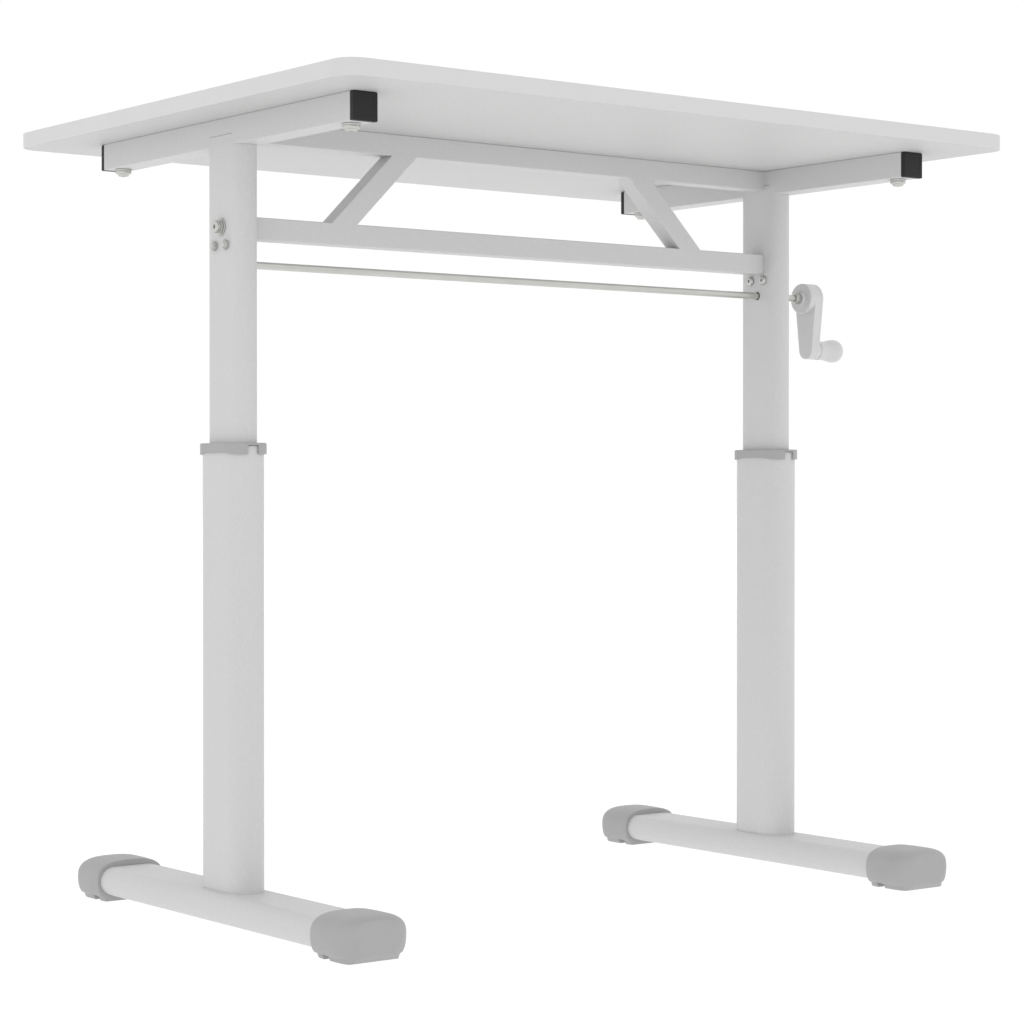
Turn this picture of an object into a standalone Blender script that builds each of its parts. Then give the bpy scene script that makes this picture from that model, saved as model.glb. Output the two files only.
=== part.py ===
"""Crank-driven height adjustable desk, 800 x 600 mm, standing 762 mm high at rest.

Metres, +Z up. The origin is on the floor under the middle of the desk's overall box, X runs
along the tabletop's long edge and -Y is the side where the user sits. Positions are measured
from the tabletop's middle, which the crank's reach puts CENTRE_X away from the origin. One leg
is described and made twice: side is -1 for the left leg and +1 for the right, by the crank.
"""

import math

import bmesh
import bpy
from mathutils import Matrix

# ---- driving dimensions -------------------------------------------------------------------
GAP = 0.0003  # clearance between pieces that touch

DESK_HEIGHT = 0.762
TOP_LENGTH = 0.800
TOP_DEPTH = 0.600
TOP_THICKNESS = 0.015
TOP_CORNER_RADIUS = 0.020
TOP_EDGE_RADIUS = 0.0015

LEG_X = 0.335  # distance of each leg from the desk's middle
COLUMN_Y = -0.012

RAIL_SIZE = 0.0255
RAIL_WALL = 0.0022
RAIL_Y = -0.0064
RAIL_LENGTH = 0.439
PLUG_FLANGE = 0.0055
PLUG_DEPTH = 0.012

BEAM_SIZE = 0.0207
BEAM_WALL = 0.0015
LOWER_BEAM_Z = 0.647
BEAM_END_PLATE = 0.005
BRACE_LOW_X = 0.2175  # where each brace's middle meets the lower beam

UPPER_STRAIGHT = 0.0178  # half length of the flat side of the upper tube
UPPER_RADIUS = 0.0127
UPPER_WALL = 0.0012
UPPER_BOTTOM = 0.190
SADDLE_RISE = 0.0105

LOWER_STRAIGHT = 0.0183
LOWER_RADIUS = 0.0188
LOWER_WALL = 0.0015
COLLAR_TOP = 0.4475
COLLAR_SKIRT = 0.0105
COLLAR_PROUD = 0.0025
COLLAR_SLOT_WIDTH = 0.010
GUIDE_LENGTH = 0.040

FOOT_X = 0.336
FOOT_Y = -0.00875
FOOT_STRAIGHT = 0.019
FOOT_RADIUS = 0.014
FOOT_WALL = 0.0018
FOOT_Z = 0.0198
FOOT_TUBE_LENGTH = 0.4566
CAP_MOUTH = 0.1913  # distance of each cap's mouth from the foot's middle
CAP_LENGTH = 0.052
CAP_POCKET = 0.038
CAP_HALF_WIDTH = 0.0376
CAP_HEIGHT = 0.040
CAP_BASE_HALF_WIDTH = 0.028
CAP_BASE_LENGTH = 0.046
CAP_GROOVE = 0.0053

DRIVE_Z = 0.6135  # height of the crank's axis
ROD_FLATS = 0.0063  # size of the hexagonal rod across its flats
ROD_HOLE_RADIUS = 0.0044
GEAR_PITCH_RADIUS = 0.008
GEAR_TEETH = 12
SCREW_RADIUS = 0.005
SCREW_JOURNAL_RADIUS = 0.004
SCREW_BOTTOM = 0.270
POST_RADIUS = 0.009
POST_WALL = 0.0015
POST_TOP = 0.432
GEARBOX_BOTTOM = 0.597
GEARBOX_TOP = 0.638
GEARBOX_DEPTH = 0.038

GEARBOX_BOLT_Z = 0.630
GEARBOX_BOLT_SPACING = 0.020
GEARBOX_NUT_HEIGHT = 0.0036

CRANK_ARM_LENGTH = 0.0560
CRANK_HUB_RADIUS = 0.0165
CRANK_END_RADIUS = 0.0100
CRANK_ARM_IN = 0.3935  # inner and outer faces of the arm, along X
CRANK_ARM_OUT = 0.4058
CRANK_END_OUT = 0.4097  # face of the boss that carries the grip
CRANK_HUB_IN = 0.3868
CRANK_BOSS_IN = 0.3833
CRANK_NUT_LENGTH = 0.0065
GRIP_START = 0.4100
GRIP_END = 0.4445

# ---- values that follow from them ---------------------------------------------------------
TOP_UNDERSIDE = DESK_HEIGHT - TOP_THICKNESS
RAIL_TOP = TOP_UNDERSIDE - GAP
RAIL_BOTTOM = RAIL_TOP - RAIL_SIZE
RAIL_BOLT_Y = RAIL_LENGTH / 2 - 0.0165
UPPER_TOP = RAIL_BOTTOM - GAP
BEAM_HALF_LENGTH = LEG_X - UPPER_RADIUS - GAP
LOWER_BEAM_TOP = LOWER_BEAM_Z + BEAM_SIZE / 2
FOOT_TOP = FOOT_Z + FOOT_RADIUS
LOWER_BOTTOM = FOOT_TOP + GAP
COLLAR_FLANGE = 0.0038
LOWER_TOP = COLLAR_TOP - COLLAR_FLANGE - GAP
POST_BOTTOM = LOWER_BOTTOM
CRANK_PIN_Z = DRIVE_Z - CRANK_ARM_LENGTH
UPPER_INSIDE = UPPER_RADIUS - UPPER_WALL  # half width inside the upper tube
CENTRE_X = -(GRIP_END - TOP_LENGTH / 2) / 2

ALONG_X = (0.0, math.pi / 2, 0.0)  # turns a shape's own Z axis to world +X
TOWARDS_MINUS_X = (0.0, -math.pi / 2, 0.0)
HALF_TURN = (0.0, 0.0, math.pi)
FOOT_TURN = tuple(Matrix(((0, 1, 0), (0, 0, 1), (1, 0, 0))).to_euler())

ROUND = 24
SMALL_ROUND = 12


# ---- scene helpers ------------------------------------------------------------------------
def clear_scene():
    for obj in list(bpy.data.objects):
        bpy.data.objects.remove(obj, do_unlink=True)


def material(name, colour, roughness, metallic=0.0):
    """A Principled material, made once and shared by the pieces of one finish."""
    found = bpy.data.materials.get(name)
    if found:
        return found
    made = bpy.data.materials.new(name)
    made.use_nodes = True
    shader = made.node_tree.nodes["Principled BSDF"]
    shader.inputs["Base Color"].default_value = (*colour, 1.0)
    shader.inputs["Roughness"].default_value = roughness
    shader.inputs["Metallic"].default_value = metallic
    made.diffuse_color = (*colour, 1.0)
    return made


def finishes():
    return {
        "laminate": material("white_laminate", (0.82, 0.82, 0.81), 0.55),
        "paint": material("white_powder_coat", (0.80, 0.80, 0.79), 0.45, 0.1),
        "grey": material("grey_plastic", (0.38, 0.38, 0.38), 0.55),
        "black": material("black_plastic", (0.03, 0.03, 0.03), 0.5),
        "white": material("white_plastic", (0.78, 0.78, 0.77), 0.5),
        "steel": material("zinc_steel", (0.58, 0.58, 0.55), 0.35, 1.0),
        "brass": material("brass", (0.75, 0.60, 0.30), 0.35, 1.0),
        "nylon": material("nylon", (0.85, 0.84, 0.80), 0.5),
    }


FINISH = {}
AXES = {}


def from_centre(location):
    """World position of a point given from the tabletop's middle."""
    return (location[0] + CENTRE_X, location[1], location[2])


def axis_empty(name, location):
    """An empty on a joint's axis, which the pieces that move with that joint are parented to."""
    empty = bpy.data.objects.new(name, None)
    empty.location = from_centre(location)
    bpy.context.scene.collection.objects.link(empty)
    AXES[name] = empty


def add_object(name, mesh_tool, finish, location=(0, 0, 0), rotation=(0, 0, 0), parent=None):
    """Turns a bmesh into a placed object, given its position from the tabletop's middle."""
    bmesh.ops.recalc_face_normals(mesh_tool, faces=mesh_tool.faces)
    mesh = bpy.data.meshes.new(name)
    mesh_tool.to_mesh(mesh)
    mesh_tool.free()
    obj = bpy.data.objects.new(name, mesh)
    bpy.context.scene.collection.objects.link(obj)
    if finish:
        mesh.materials.append(FINISH[finish])
    mesh.shade_smooth()
    mesh.set_sharp_from_angle(angle=math.radians(35))
    origin = (0, 0, 0)
    if parent:
        obj.parent = AXES[parent]
        origin = AXES[parent].location
    obj.location = [world - base for world, base in zip(from_centre(location), origin)]
    obj.rotation_euler = rotation
    return obj


def add_cutter(name, mesh_tool, location=(0, 0, 0), rotation=(0, 0, 0)):
    cutter = add_object(name, mesh_tool, None, location, rotation)
    cutter.hide_render = True
    cutter.display_type = "WIRE"
    return cutter


def boolean(obj, other, operation="DIFFERENCE"):
    modifier = obj.modifiers.new(other.name, "BOOLEAN")
    modifier.operation = operation
    modifier.solver = "EXACT"
    modifier.object = other


# ---- outlines, all counter-clockwise in XY at a height z ----------------------------------
def obround(half_straight, radius, z, flat_steps=1, arc_steps=12):
    """Two flats along Y joined by half circles."""
    points = []
    for turn in (1, -1):
        for i in range(flat_steps):
            y = turn * half_straight * (2 * i / flat_steps - 1)
            points.append((turn * radius, y, z))
        for i in range(arc_steps):
            angle = math.pi * i / arc_steps
            x = turn * radius * math.cos(angle)
            y = turn * (half_straight + radius * math.sin(angle))
            points.append((x, y, z))
    return points


def circle(radius, z, steps=ROUND, phase=0.0):
    angles = [phase + 2 * math.pi * i / steps for i in range(steps)]
    return [(radius * math.cos(a), radius * math.sin(a), z) for a in angles]


def hexagon(across_flats, z, steps=6):
    """A hexagon with a corner on +X; more steps put points along its sides."""
    points = []
    for i in range(steps):
        angle = 2 * math.pi * i / steps
        from_side = (angle % (math.pi / 3)) - math.pi / 6
        radius = across_flats / 2 / math.cos(from_side)
        points.append((radius * math.cos(angle), radius * math.sin(angle), z))
    return points


def rectangle(width, depth, z, radius=0.0, steps=4):
    """A rectangle about the origin, with round corners if a radius is given."""
    if not radius:
        x, y = width / 2, depth / 2
        return [(x, -y, z), (x, y, z), (-x, y, z), (-x, -y, z)]
    points = []
    for corner, (sx, sy) in enumerate(((1, -1), (1, 1), (-1, 1), (-1, -1))):
        for i in range(steps + 1):
            angle = math.pi / 2 * (corner - 1 + i / steps)
            x = sx * (width / 2 - radius) + radius * math.cos(angle)
            y = sy * (depth / 2 - radius) + radius * math.sin(angle)
            points.append((x, y, z))
    return points


# ---- solids from outlines -----------------------------------------------------------------
def loft(rings, closed=False):
    """Skins rings with equal numbers of points. The ends are filled, or joined if closed."""
    bm = bmesh.new()
    loops = [[bm.verts.new(point) for point in ring] for ring in rings]
    pairs = list(zip(loops, loops[1:]))
    if closed:
        pairs.append((loops[-1], loops[0]))
    count = len(rings[0])
    for lower, upper in pairs:
        for i in range(count):
            j = (i + 1) % count
            bm.faces.new((lower[i], lower[j], upper[j], upper[i]))
    if not closed:
        bm.faces.new(loops[0])
        bm.faces.new(loops[-1])
    return bm


def turned(profile, steps=ROUND, closed=True):
    """A shape turned about Z from (radius, z) pairs; closed profiles have a hole down the axis."""
    return loft([circle(radius, z, steps) for radius, z in profile], closed)


def block(width, depth, bottom, top):
    return loft([rectangle(width, depth, bottom), rectangle(width, depth, top)])


def cylinder(radius, bottom, top, steps=SMALL_ROUND):
    return loft([circle(radius, bottom, steps), circle(radius, top, steps)])


def merge(first, second, offset):
    """Adds a second, separate body to a cutter, moved by an offset."""
    mesh = bpy.data.meshes.new("merged")
    bmesh.ops.translate(second, verts=second.verts, vec=offset)
    second.to_mesh(mesh)
    second.free()
    first.from_mesh(mesh)
    bpy.data.meshes.remove(mesh)
    return first


# ---- fasteners ----------------------------------------------------------------------------
def socket_bolt(name, head_radius, head_height, washer, shank, socket, place, turn, parent=None):
    """A button-head bolt whose head rises along its own +Z from z = 0; washer is (radius, height)."""
    shank_radius, shank_length = shank
    washer_radius, washer_height = washer
    steps = SMALL_ROUND
    rim = washer_height + 0.45 * head_height
    crown = washer_height + head_height
    rings = [circle(shank_radius, -shank_length, steps), circle(shank_radius, 0, steps)]
    if washer_height:
        rings += [circle(washer_radius, 0, steps), circle(washer_radius, washer_height, steps)]
    rings += [
        circle(head_radius, washer_height, steps),
        circle(head_radius, rim, steps),
        circle(0.72 * head_radius, crown, steps),
        hexagon(socket, crown, steps),
        hexagon(socket, crown - 0.6 * head_height, steps),
    ]
    return add_object(name, loft(rings), "steel", place, turn, parent)


# ---- tabletop and frame -------------------------------------------------------------------
def make_tabletop():
    inset = TOP_EDGE_RADIUS
    rings = []
    for height, shrink in (
        (TOP_UNDERSIDE, inset),
        (TOP_UNDERSIDE + 0.3 * inset, 0.3 * inset),
        (TOP_UNDERSIDE + inset, 0.0),
        (DESK_HEIGHT - inset, 0.0),
        (DESK_HEIGHT - 0.3 * inset, 0.3 * inset),
        (DESK_HEIGHT, inset),
    ):
        width, depth = TOP_LENGTH - 2 * shrink, TOP_DEPTH - 2 * shrink
        rings.append(rectangle(width, depth, height, TOP_CORNER_RADIUS - shrink, 6))
    top = add_object("tabletop", loft(rings), "laminate", parent="height_axis")
    holes = bmesh.new()
    for x in (-LEG_X, LEG_X):
        for y in (-RAIL_BOLT_Y, RAIL_BOLT_Y):
            hole = cylinder(0.0033, TOP_UNDERSIDE - 0.005, TOP_UNDERSIDE + 0.0115)
            merge(holes, hole, (x, RAIL_Y + y, 0))
    boolean(top, add_cutter("tabletop_bolt_holes", holes))


def make_side_rail(side, word):
    """A square tube along Y, notched at its sides for the column's two raised flats."""
    inner = RAIL_SIZE - 2 * RAIL_WALL
    outer_ring = (RAIL_SIZE, RAIL_SIZE)
    half = RAIL_LENGTH / 2
    rings = [
        rectangle(*outer_ring, -half, 0.0012, 2),
        rectangle(*outer_ring, half, 0.0012, 2),
        rectangle(inner, inner, half, 0.0005, 2),
        rectangle(inner, inner, -half, 0.0005, 2),
    ]
    middle = (side * LEG_X, RAIL_Y, RAIL_TOP - RAIL_SIZE / 2)
    along_y = (-math.pi / 2, 0, 0)
    rail = add_object(f"side_rail_{word}", loft(rings, closed=True), "paint", middle, along_y,
                      "height_axis")
    notch_bottom = RAIL_BOTTOM - 0.002
    notch_top = UPPER_TOP + SADDLE_RISE + GAP
    depth = 2 * (UPPER_STRAIGHT + GAP)
    notches = bmesh.new()
    for way in (-1, 1):
        notch = block(0.010, depth, notch_bottom, notch_top)
        merge(notches, notch, (way * (UPPER_INSIDE - GAP + 0.005), 0, 0))
    boolean(rail, add_cutter(f"rail_notches_{word}", notches, (side * LEG_X, COLUMN_Y, 0)))
    holes = bmesh.new()
    for y in (-RAIL_BOLT_Y, RAIL_BOLT_Y):
        merge(holes, cylinder(0.0033, RAIL_BOTTOM - 0.005, RAIL_TOP + 0.005), (0, y, 0))
    boolean(rail, add_cutter(f"rail_bolt_holes_{word}", holes, (side * LEG_X, RAIL_Y, 0)))


def make_rail_ends(side, word):
    """The two end plugs of a side rail, and the two bolts that hold the tabletop on it."""
    body = RAIL_SIZE - 2 * RAIL_WALL - 2 * GAP
    for end, end_word in ((-1, "front"), (1, "rear")):
        rings = [
            rectangle(body, body, -PLUG_DEPTH, 0.001, 2),
            rectangle(body, body, GAP, 0.001, 2),
            rectangle(RAIL_SIZE, RAIL_SIZE, GAP, 0.0012, 2),
            rectangle(RAIL_SIZE, RAIL_SIZE, PLUG_FLANGE - 0.0006, 0.0012, 2),
            rectangle(RAIL_SIZE - 0.0012, RAIL_SIZE - 0.0012, PLUG_FLANGE, 0.0008, 2),
        ]
        place = (side * LEG_X, RAIL_Y + end * RAIL_LENGTH / 2, RAIL_TOP - RAIL_SIZE / 2)
        turn = (-end * math.pi / 2, 0, 0)
        add_object(f"rail_plug_{end_word}_{word}", loft(rings), "black", place, turn, "height_axis")
        place = (side * LEG_X, RAIL_Y + end * RAIL_BOLT_Y, RAIL_BOTTOM - GAP)
        socket_bolt(f"tabletop_bolt_{end_word}_{word}", 0.0078, 0.0050, (0.0082, 0.0015),
                    (0.003, 0.035), 0.004, place, (math.pi, 0, 0), "height_axis")


def make_beams():
    inner = BEAM_SIZE - 2 * BEAM_WALL
    half = BEAM_HALF_LENGTH
    outer = (BEAM_SIZE, BEAM_SIZE)
    rings = [
        rectangle(*outer, -half, 0.0015, 2),
        rectangle(*outer, half, 0.0015, 2),
        rectangle(inner, inner, half, 0.0005, 2),
        rectangle(inner, inner, -half, 0.0005, 2),
    ]
    upper_place = (0, COLUMN_Y, RAIL_TOP - BEAM_SIZE / 2)
    add_object("upper_beam", loft(rings, closed=True), "paint", upper_place, ALONG_X, "height_axis")
    solid = loft([rectangle(*outer, z, 0.0015, 2) for z in (-half, half)])
    place = (0, COLUMN_Y, LOWER_BEAM_Z)
    lower = add_object("lower_beam", solid, "paint", place, ALONG_X, "height_axis")
    hollow_half = half - BEAM_END_PLATE
    hollow = loft([rectangle(inner, inner, -hollow_half), rectangle(inner, inner, hollow_half)])
    boolean(lower, add_cutter("lower_beam_hollow", hollow, place, ALONG_X))
    bores = cylinder(0.0033, -half - 0.005, half + 0.005)
    boolean(lower, add_cutter("lower_beam_bores", bores, place, ALONG_X))


def make_brace(side, word):
    """A square tube leaning 45 degrees between the beams, cut level at both ends."""
    bottom = LOWER_BEAM_TOP + GAP
    top = RAIL_TOP - BEAM_SIZE - GAP
    across = math.sqrt(2)
    inner = BEAM_SIZE - 2 * BEAM_WALL
    rings = []
    for size, z in ((BEAM_SIZE, bottom), (BEAM_SIZE, top), (inner, top), (inner, bottom)):
        shift = side * (BRACE_LOW_X - (z - LOWER_BEAM_TOP))
        ring = rectangle(across * size, size, z)
        rings.append([(x + shift, y + COLUMN_Y, z) for x, y, z in ring])
    add_object(f"brace_{word}", loft(rings, closed=True), "paint", parent="height_axis")


# ---- legs ---------------------------------------------------------------------------------
def through_cutters(word, side):
    """Cylinders along X that make the holes in an upper column and in its gearbox."""
    bolts = bmesh.new()
    for y in (-GEARBOX_BOLT_SPACING / 2, GEARBOX_BOLT_SPACING / 2):
        merge(bolts, cylinder(0.0028, -0.030, 0.030), (0, y, 0))
    place = (side * LEG_X, COLUMN_Y, GEARBOX_BOLT_Z)
    small = add_cutter(f"gearbox_bolt_holes_{word}", bolts, place, ALONG_X)
    place = (side * LEG_X, COLUMN_Y, LOWER_BEAM_Z)
    large = add_cutter(f"beam_bolt_hole_{word}", cylinder(0.0033, -0.030, 0.030), place, ALONG_X)
    # the left rod ends inside its column, so that column's outer face has no rod hole
    outward = 0.030 if side > 0 else 0.0
    rod_hole = cylinder(ROD_HOLE_RADIUS, -0.030, outward, 16)
    rod = add_cutter(f"rod_hole_{word}", rod_hole, (side * LEG_X, COLUMN_Y, DRIVE_Z), ALONG_X)
    if side < 0:
        rod.rotation_euler = TOWARDS_MINUS_X
    return small, large, rod


def make_upper_column(side, word):
    """A flat-sided oval tube. Its two flats rise past the rail's underside to hold the rail."""
    inner_radius = UPPER_RADIUS - UPPER_WALL
    rings = [
        obround(UPPER_STRAIGHT, UPPER_RADIUS, UPPER_BOTTOM),
        obround(UPPER_STRAIGHT, UPPER_RADIUS, UPPER_TOP),
        obround(UPPER_STRAIGHT, inner_radius, UPPER_TOP),
        obround(UPPER_STRAIGHT, inner_radius, UPPER_BOTTOM),
    ]
    bm = loft(rings, closed=True)
    rims = [face for face in bm.faces if face.calc_center_median().z > UPPER_TOP - 1e-6]
    flats = [face for face in rims if abs(face.calc_center_median().y) < 1e-6]
    for flat in flats:
        raised = bmesh.ops.extrude_face_region(bm, geom=[flat])["geom"]
        corners = [item for item in raised if isinstance(item, bmesh.types.BMVert)]
        bmesh.ops.translate(bm, verts=corners, vec=(0, 0, SADDLE_RISE))
        bmesh.ops.delete(bm, geom=[flat], context="FACES")
    column = add_object(f"upper_column_{word}", bm, "paint", (side * LEG_X, COLUMN_Y, 0),
                        parent="height_axis")
    for cutter in through_cutters(word, side):
        boolean(column, cutter)


def make_guide_bush(side, word):
    """A sleeve on the upper column's lower end that slides inside the lower column."""
    outer = LOWER_RADIUS - LOWER_WALL - GAP
    inner = UPPER_RADIUS + GAP
    lip = UPPER_RADIUS - UPPER_WALL
    bottom = UPPER_BOTTOM - GAP - 0.004
    top = bottom + GUIDE_LENGTH
    straight = UPPER_STRAIGHT
    rings = [
        obround(straight, outer - 0.001, bottom),
        obround(straight, outer, bottom + 0.002),
        obround(straight, outer, top),
        obround(straight, inner, top),
        obround(straight, inner, UPPER_BOTTOM - GAP),
        obround(straight, lip, UPPER_BOTTOM - GAP),
        obround(straight, lip, bottom),
    ]
    place = (side * LEG_X, COLUMN_Y, 0)
    add_object(f"guide_bush_{word}", loft(rings, closed=True), "nylon", place, parent="height_axis")


def make_lower_column(side, word):
    inner_radius = LOWER_RADIUS - LOWER_WALL
    rings = [
        obround(LOWER_STRAIGHT, LOWER_RADIUS, LOWER_BOTTOM),
        obround(LOWER_STRAIGHT, LOWER_RADIUS, LOWER_TOP),
        obround(LOWER_STRAIGHT, inner_radius, LOWER_TOP),
        obround(LOWER_STRAIGHT, inner_radius, LOWER_BOTTOM),
    ]
    place = (side * LEG_X, COLUMN_Y, 0)
    add_object(f"lower_column_{word}", loft(rings, closed=True), "paint", place)


def make_collar(side, word):
    """A cap on the lower tube with an outer skirt, a flat rim and a guide sleeve inside."""
    skirt_out = LOWER_RADIUS + COLLAR_PROUD
    skirt_in = LOWER_RADIUS + GAP
    sleeve_out = LOWER_RADIUS - LOWER_WALL - GAP
    sleeve_in = UPPER_RADIUS + GAP
    skirt_bottom = COLLAR_TOP - COLLAR_SKIRT
    flange_under = COLLAR_TOP - COLLAR_FLANGE
    sleeve_bottom = COLLAR_TOP - GUIDE_LENGTH
    wave = 0.0025

    def ring(straight, radius, z, waved=False):
        points = obround(straight, radius, z, 6, 12)
        if not waved:
            return points
        # the skirt's edge is highest in the middle of each flat side
        return [(x, y, z + wave * math.cos(min(abs(y) / 0.024, 1) * math.pi / 2) ** 2)
                for x, y, z in points]

    rings = [
        ring(LOWER_STRAIGHT, skirt_out, skirt_bottom, True),
        ring(LOWER_STRAIGHT, skirt_out, COLLAR_TOP - 0.001),
        ring(LOWER_STRAIGHT, skirt_out - 0.001, COLLAR_TOP),
        ring(UPPER_STRAIGHT, sleeve_in, COLLAR_TOP),
        ring(UPPER_STRAIGHT, sleeve_in, sleeve_bottom),
        ring(UPPER_STRAIGHT, sleeve_out, sleeve_bottom),
        ring(UPPER_STRAIGHT, sleeve_out, flange_under),
        ring(LOWER_STRAIGHT, skirt_in, flange_under),
        ring(LOWER_STRAIGHT, skirt_in, skirt_bottom, True),
    ]
    place = (side * LEG_X, COLUMN_Y, 0)
    collar = add_object(f"column_collar_{word}", loft(rings, closed=True), "grey", place)
    front = -(LOWER_STRAIGHT + LOWER_RADIUS)
    slot = block(COLLAR_SLOT_WIDTH, 0.008, skirt_bottom - 0.002, flange_under + 0.0005)
    slot_place = (side * LEG_X, COLUMN_Y + front - 0.004, 0)
    boolean(collar, add_cutter(f"collar_slot_{word}", slot, slot_place))


def make_foot_tube(side, word):
    rings = [
        obround(FOOT_STRAIGHT, FOOT_RADIUS, -FOOT_TUBE_LENGTH / 2),
        obround(FOOT_STRAIGHT, FOOT_RADIUS, FOOT_TUBE_LENGTH / 2),
        obround(FOOT_STRAIGHT, FOOT_RADIUS - FOOT_WALL, FOOT_TUBE_LENGTH / 2),
        obround(FOOT_STRAIGHT, FOOT_RADIUS - FOOT_WALL, -FOOT_TUBE_LENGTH / 2),
    ]
    place = (side * FOOT_X, FOOT_Y, FOOT_Z)
    add_object(f"foot_tube_{word}", loft(rings, closed=True), "paint", place, FOOT_TURN)


def cap_outline(width_scale, floor, y):
    """One upright section of a foot cap: a flat base, sides that swell, and an arched top."""
    points = []
    middle = CAP_HEIGHT / 2
    top_height = (CAP_HEIGHT - middle) * (0.35 + 0.65 * width_scale)
    steps = 16
    for i in range(steps + 1):
        angle = math.pi * i / steps
        x = math.copysign(abs(math.cos(angle)) ** 0.7, math.cos(angle))
        z = middle + top_height * math.sin(angle) ** 0.7
        points.append((CAP_HALF_WIDTH * width_scale * x, y, z))
    side_steps = 4
    base_x = CAP_BASE_HALF_WIDTH + (CAP_HALF_WIDTH - CAP_BASE_HALF_WIDTH) * 0.2
    for way in (-1, 1):
        side_points = []
        for i in range(1, side_steps):
            part = i / side_steps
            bulge = math.sqrt(1 - part**2)
            x = base_x + (CAP_HALF_WIDTH - base_x) * bulge
            z = middle - (middle - floor - 0.004) * part
            side_points.append((way * width_scale * x, y, z))
        side_points.append((way * width_scale * base_x, y, floor + 0.004))
        side_points.append((way * width_scale * CAP_BASE_HALF_WIDTH, y, floor))
        points += side_points if way < 0 else side_points[::-1]
    return points


def make_foot_caps(side, word):
    """A cap that slips over each end of the foot tube, with a groove across its base."""
    sections = []
    for share in (0.0, 0.12, 0.3, 0.5, 0.68, 0.82, 0.92, 0.98):
        y = -share * CAP_LENGTH
        nose = max(0.0, (share - 0.45) / 0.55)
        width = (0.97 + 0.03 * min(1, share / 0.3)) * (1 - 0.42 * nose**3.2)
        past_base = max(0.0, share * CAP_LENGTH - CAP_BASE_LENGTH)
        sections.append(cap_outline(width, 1.1 * past_base, y))
    nose_ring = [(0.8 * x, -CAP_LENGTH, 0.55 * z + 0.45 * CAP_HEIGHT / 2)
                 for x, _, z in sections[-1]]
    rings = [*sections, nose_ring]
    for end, end_word in ((-1, "front"), (1, "rear")):
        place = (side * FOOT_X, FOOT_Y + end * CAP_MOUTH, 0)
        turn = (0, 0, 0) if end < 0 else HALF_TURN
        cap = add_object(f"foot_cap_{end_word}_{word}", loft(rings), "grey", place, turn)
        pocket_ends = sorted((-end * 0.005, end * CAP_POCKET))
        pocket = loft([obround(FOOT_STRAIGHT, FOOT_RADIUS + GAP, y) for y in pocket_ends])
        pocket_place = (side * FOOT_X, place[1], FOOT_Z)
        boolean(cap, add_cutter(f"cap_pocket_{end_word}_{word}", pocket, pocket_place, FOOT_TURN))
        groove = block(0.080, 0.010, -0.005, CAP_GROOVE)
        groove_place = (side * FOOT_X, place[1] + end * 0.0145, 0)
        boolean(cap, add_cutter(f"cap_groove_{end_word}_{word}", groove, groove_place))


# ---- lifting mechanism --------------------------------------------------------------------
def bevel_gear(bore_ring):
    """A miter gear whose pitch cone's tip is at the origin and whose back faces -Z."""
    face_width_scale = 0.67
    lean = math.sqrt(0.5)

    def tooth_ring(scale):
        points = []
        for tooth in range(GEAR_TEETH):
            for share, height in ((-0.30, -0.0009), (-0.14, 0.0006), (0.14, 0.0006), (0.30, -0.0009)):
                angle = 2 * math.pi * (tooth + share) / GEAR_TEETH
                radius = scale * (GEAR_PITCH_RADIUS + height * lean)
                depth = scale * (GEAR_PITCH_RADIUS - height * lean)
                points.append((radius * math.cos(angle), radius * math.sin(angle), -depth))
        return points

    steps = 4 * GEAR_TEETH
    front = face_width_scale * (GEAR_PITCH_RADIUS + 0.0009 * lean)
    back = 0.0090
    phase = -0.30 * 2 * math.pi / GEAR_TEETH
    rings = [
        bore_ring(-front, steps),
        tooth_ring(face_width_scale),
        tooth_ring(1.0),
        circle(0.0062, -back, steps, phase),
        bore_ring(-back, steps),
    ]
    return loft(rings, closed=True)


def make_gearbox(side, word):
    """A housing fixed in the upper column, with room for one pair of miter gears."""
    inner_half = UPPER_INSIDE - GAP
    place = (side * LEG_X, COLUMN_Y, 0)
    shell = block(2 * inner_half, GEARBOX_DEPTH, GEARBOX_BOTTOM, GEARBOX_TOP)
    gearbox = add_object(f"gearbox_housing_{word}", shell, "nylon", place, parent="height_axis")
    gear_room = block(0.0188, 0.020, GEARBOX_BOTTOM - 0.005, DRIVE_Z + 0.0105)
    boolean(gearbox, add_cutter(f"gear_room_{word}", gear_room, place))
    seat = cylinder(0.0102, GEARBOX_BOTTOM - 0.003, GEARBOX_BOTTOM + 0.0068, ROUND)
    boolean(gearbox, add_cutter(f"bearing_seat_{word}", seat, place))
    for kind in ("gearbox_bolt_holes", "rod_hole"):
        boolean(gearbox, bpy.data.objects[f"{kind}_{word}"])
    bearing = turned([
        (SCREW_JOURNAL_RADIUS + GAP, GEARBOX_BOTTOM + 0.0012),
        (0.0099, GEARBOX_BOTTOM + 0.0012),
        (0.0099, GEARBOX_BOTTOM + 0.0064),
        (SCREW_JOURNAL_RADIUS + GAP, GEARBOX_BOTTOM + 0.0064),
    ])
    add_object(f"thrust_bearing_{word}", bearing, "steel", place, parent="height_axis")


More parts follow.
